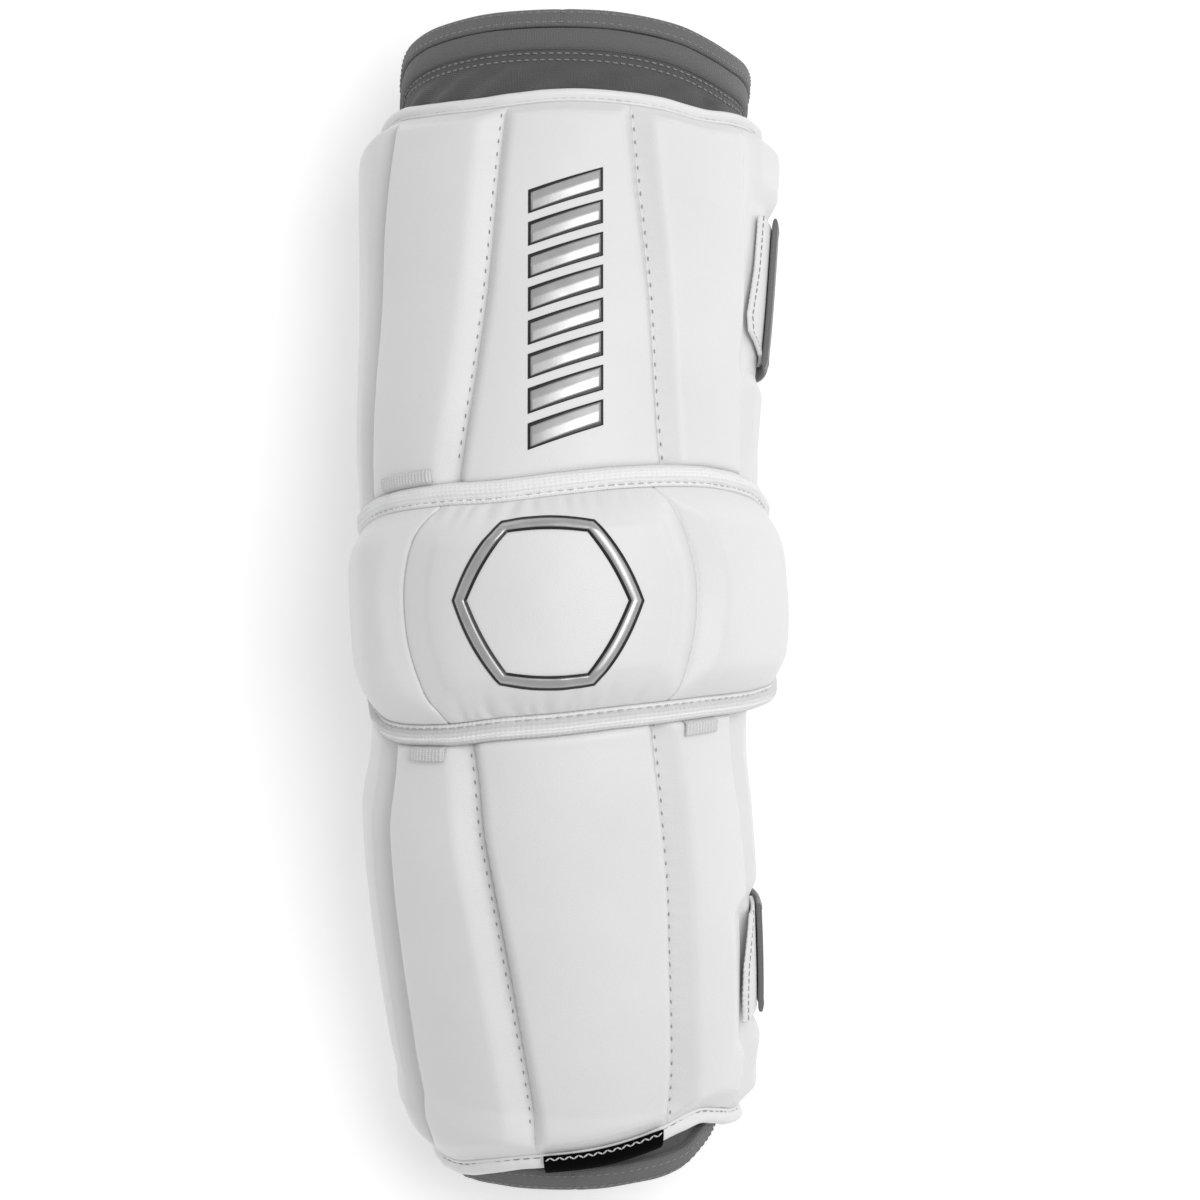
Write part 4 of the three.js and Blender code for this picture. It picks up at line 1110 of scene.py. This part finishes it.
strap(UPPER, UPPER_STRAP, "upper_strap_band")
strap(LOWER, LOWER_STRAP, "lower_strap_band")
tab(UPPER, UPPER_STRAP, UPPER_TAB, "upper_strap_tab_plate")
tab(LOWER, LOWER_STRAP, LOWER_TAB, "lower_strap_tab_plate")
loop(1, -59, -38, "cap_loop_upper_left_band")
loop(-1, -50, -36, "cap_loop_lower_left_band")
loop(-1, 41, 55, "cap_loop_lower_right_band")
label()


# Prints on the covers

PRINT_SINK = 0.2
BAR_ROWS = [104, 95, 86, 77, 68, 59, 50, 41]
BAR_HALF_WIDTH, BAR_HALF_HEIGHT, BAR_LEAN = 9.5, 2.5, 3.2
BAR_X = -1
OUTLINE = 0.8
FRAME_X, FRAME_T, FRAME_RADIUS, FRAME_HALF_BAND = -6, 0, 26.5, 1.35
BEND_SHARE = 0.76               # a station's step for one millimetre along the cap
SILVER_BAND = table(
    "out up",
    (-1, -0.2), (-1, 0.36), (-0.6, 0.6), (-0.1, 0.7), (0.1, 0.7), (0.6, 0.6), (1, 0.36),
    (1, -0.2),
)
BLACK_BAND = table("out up", (-1, -0.2), (-1, 0.26), (1, 0.26), (1, -0.2))


def flat_angle(x, t, height):
    """Angle of a surface place whose sideways place is given in mm."""
    wide, deep, shift = section(t)
    return np.degrees(np.arcsin((x - shift) / (wide + height * deep / wide)))


def bar(name, middle, grow, material, rise):
    """A slanted bar on the upper panel; rise gives its height across it, from -1 to 1."""
    u = np.linspace(-1, 1, 30)[None]
    v = np.linspace(-1, 1, 13)[:, None]
    x = BAR_X + u * (BAR_HALF_WIDTH + grow) + 0 * v
    t = middle + v * (BAR_HALF_HEIGHT + grow) + u * BAR_LEAN
    angle = flat_angle(x, t, UPPER_FOAM)
    base = cover_height(UPPER, PANEL_PADS, t, angle)
    piece = slab(name, place(t, angle, base - PRINT_SINK), place(t, angle, base + rise(v)))
    return finish_piece(piece, material)


def frame_band(name, profile, half_band, material):
    """A six-sided frame with rounded corners on the elbow cap."""
    turn = np.linspace(0, 2 * pi, 241)[:-1]
    straight = FRAME_RADIUS * 0.866 / np.cos(np.mod(turn, pi / 3) - pi / 6)
    radius = 0.62 * straight + 0.38 * 0.93 * FRAME_RADIUS - FRAME_HALF_BAND
    sections = []
    for out, up in zip(profile["out"], profile["up"]):
        x = FRAME_X + (radius + out * half_band) * np.cos(turn)
        t = FRAME_T + (radius + out * half_band) * np.sin(turn) * BEND_SHARE
        angle = flat_angle(x, t, CAP_SEAT + CAP_FOAM)
        sections.append(place(t, angle, cover_height(CAP, CAP_PADS, t, angle) + up))
    return finish_piece(ring(name, np.stack(sections, 1)), material)


for number, middle in enumerate(BAR_ROWS, 1):
    bar(f"upper_bar_{number}_outline", middle, OUTLINE, BLACK, lambda v: 0.13)
    bar(f"upper_bar_{number}", middle, 0, SILVER, lambda v: 0.2 + 0.35 * (1 - np.abs(v)))
frame_band("cap_frame_outline", BLACK_BAND, FRAME_HALF_BAND + OUTLINE, BLACK)
frame_band("cap_frame", SILVER_BAND, FRAME_HALF_BAND, SILVER)


# Stage, light and camera

WORLD_LIGHT, FLOOR_LIGHT = 0.5, 0.34
SENSOR = 36
MIDDLE = (0, 0, 0.06)


def studio():
    """A pale floor, a soft white surround and two soft lights."""
    bpy.ops.mesh.primitive_plane_add(size=6)
    floor = bpy.context.object
    floor.name = "floor"
    look = Look("pale floor", grey(0.93), 0.9)
    look.raise_by(look.noise(30, 2), 0.0002, 0.1)
    look.shader.inputs["Emission Color"].default_value = (1, 1, 1, 1)
    look.shader.inputs["Emission Strength"].default_value = FLOOR_LIGHT
    floor.data.materials.append(look.material)

    world = bpy.context.scene.world or bpy.data.worlds.new("studio")
    bpy.context.scene.world = world
    world.use_nodes = True
    background = world.node_tree.nodes["Background"]
    background.inputs["Color"].default_value = (1, 1, 1, 1)
    background.inputs["Strength"].default_value = WORLD_LIGHT

    def area(name, location, size, power):
        data = bpy.data.lights.new(name, "AREA")
        data.shape = "DISK"
        data.size = size
        data.energy = power
        made = added(name, data)
        made.location = location
        direction = Vector(MIDDLE) - Vector(location)
        made.rotation_euler = direction.to_track_quat("-Z", "Y").to_euler()

    area("key", (0.68, 0.28, 1.7), 1.2, 15.6)
    area("top", (0, 0.9, 2.2), 1.0, 2)


def camera():
    """The camera straight above, framed as in the photograph."""
    data = bpy.data.cameras.new("camera")
    data.sensor_width = SENSOR
    data.lens = SENSOR * CAMERA_DISTANCE / (PHOTO_SIZE * PHOTO_SCALE)
    data.clip_end = 10
    made = added("camera", data)
    x = (PHOTO_SIZE / 2 - PHOTO_MIDDLE_X) * PHOTO_SCALE - ORIGIN[0]
    y = (PHOTO_MIDDLE_Y - PHOTO_SIZE / 2) * PHOTO_SCALE - ORIGIN[1]
    made.location = (x * MM, y * MM, (CAMERA_DISTANCE + SCALE_HEIGHT) * MM)
    bpy.context.scene.camera = made


studio()
camera()
bpy.context.scene.view_settings.view_transform = "Standard"
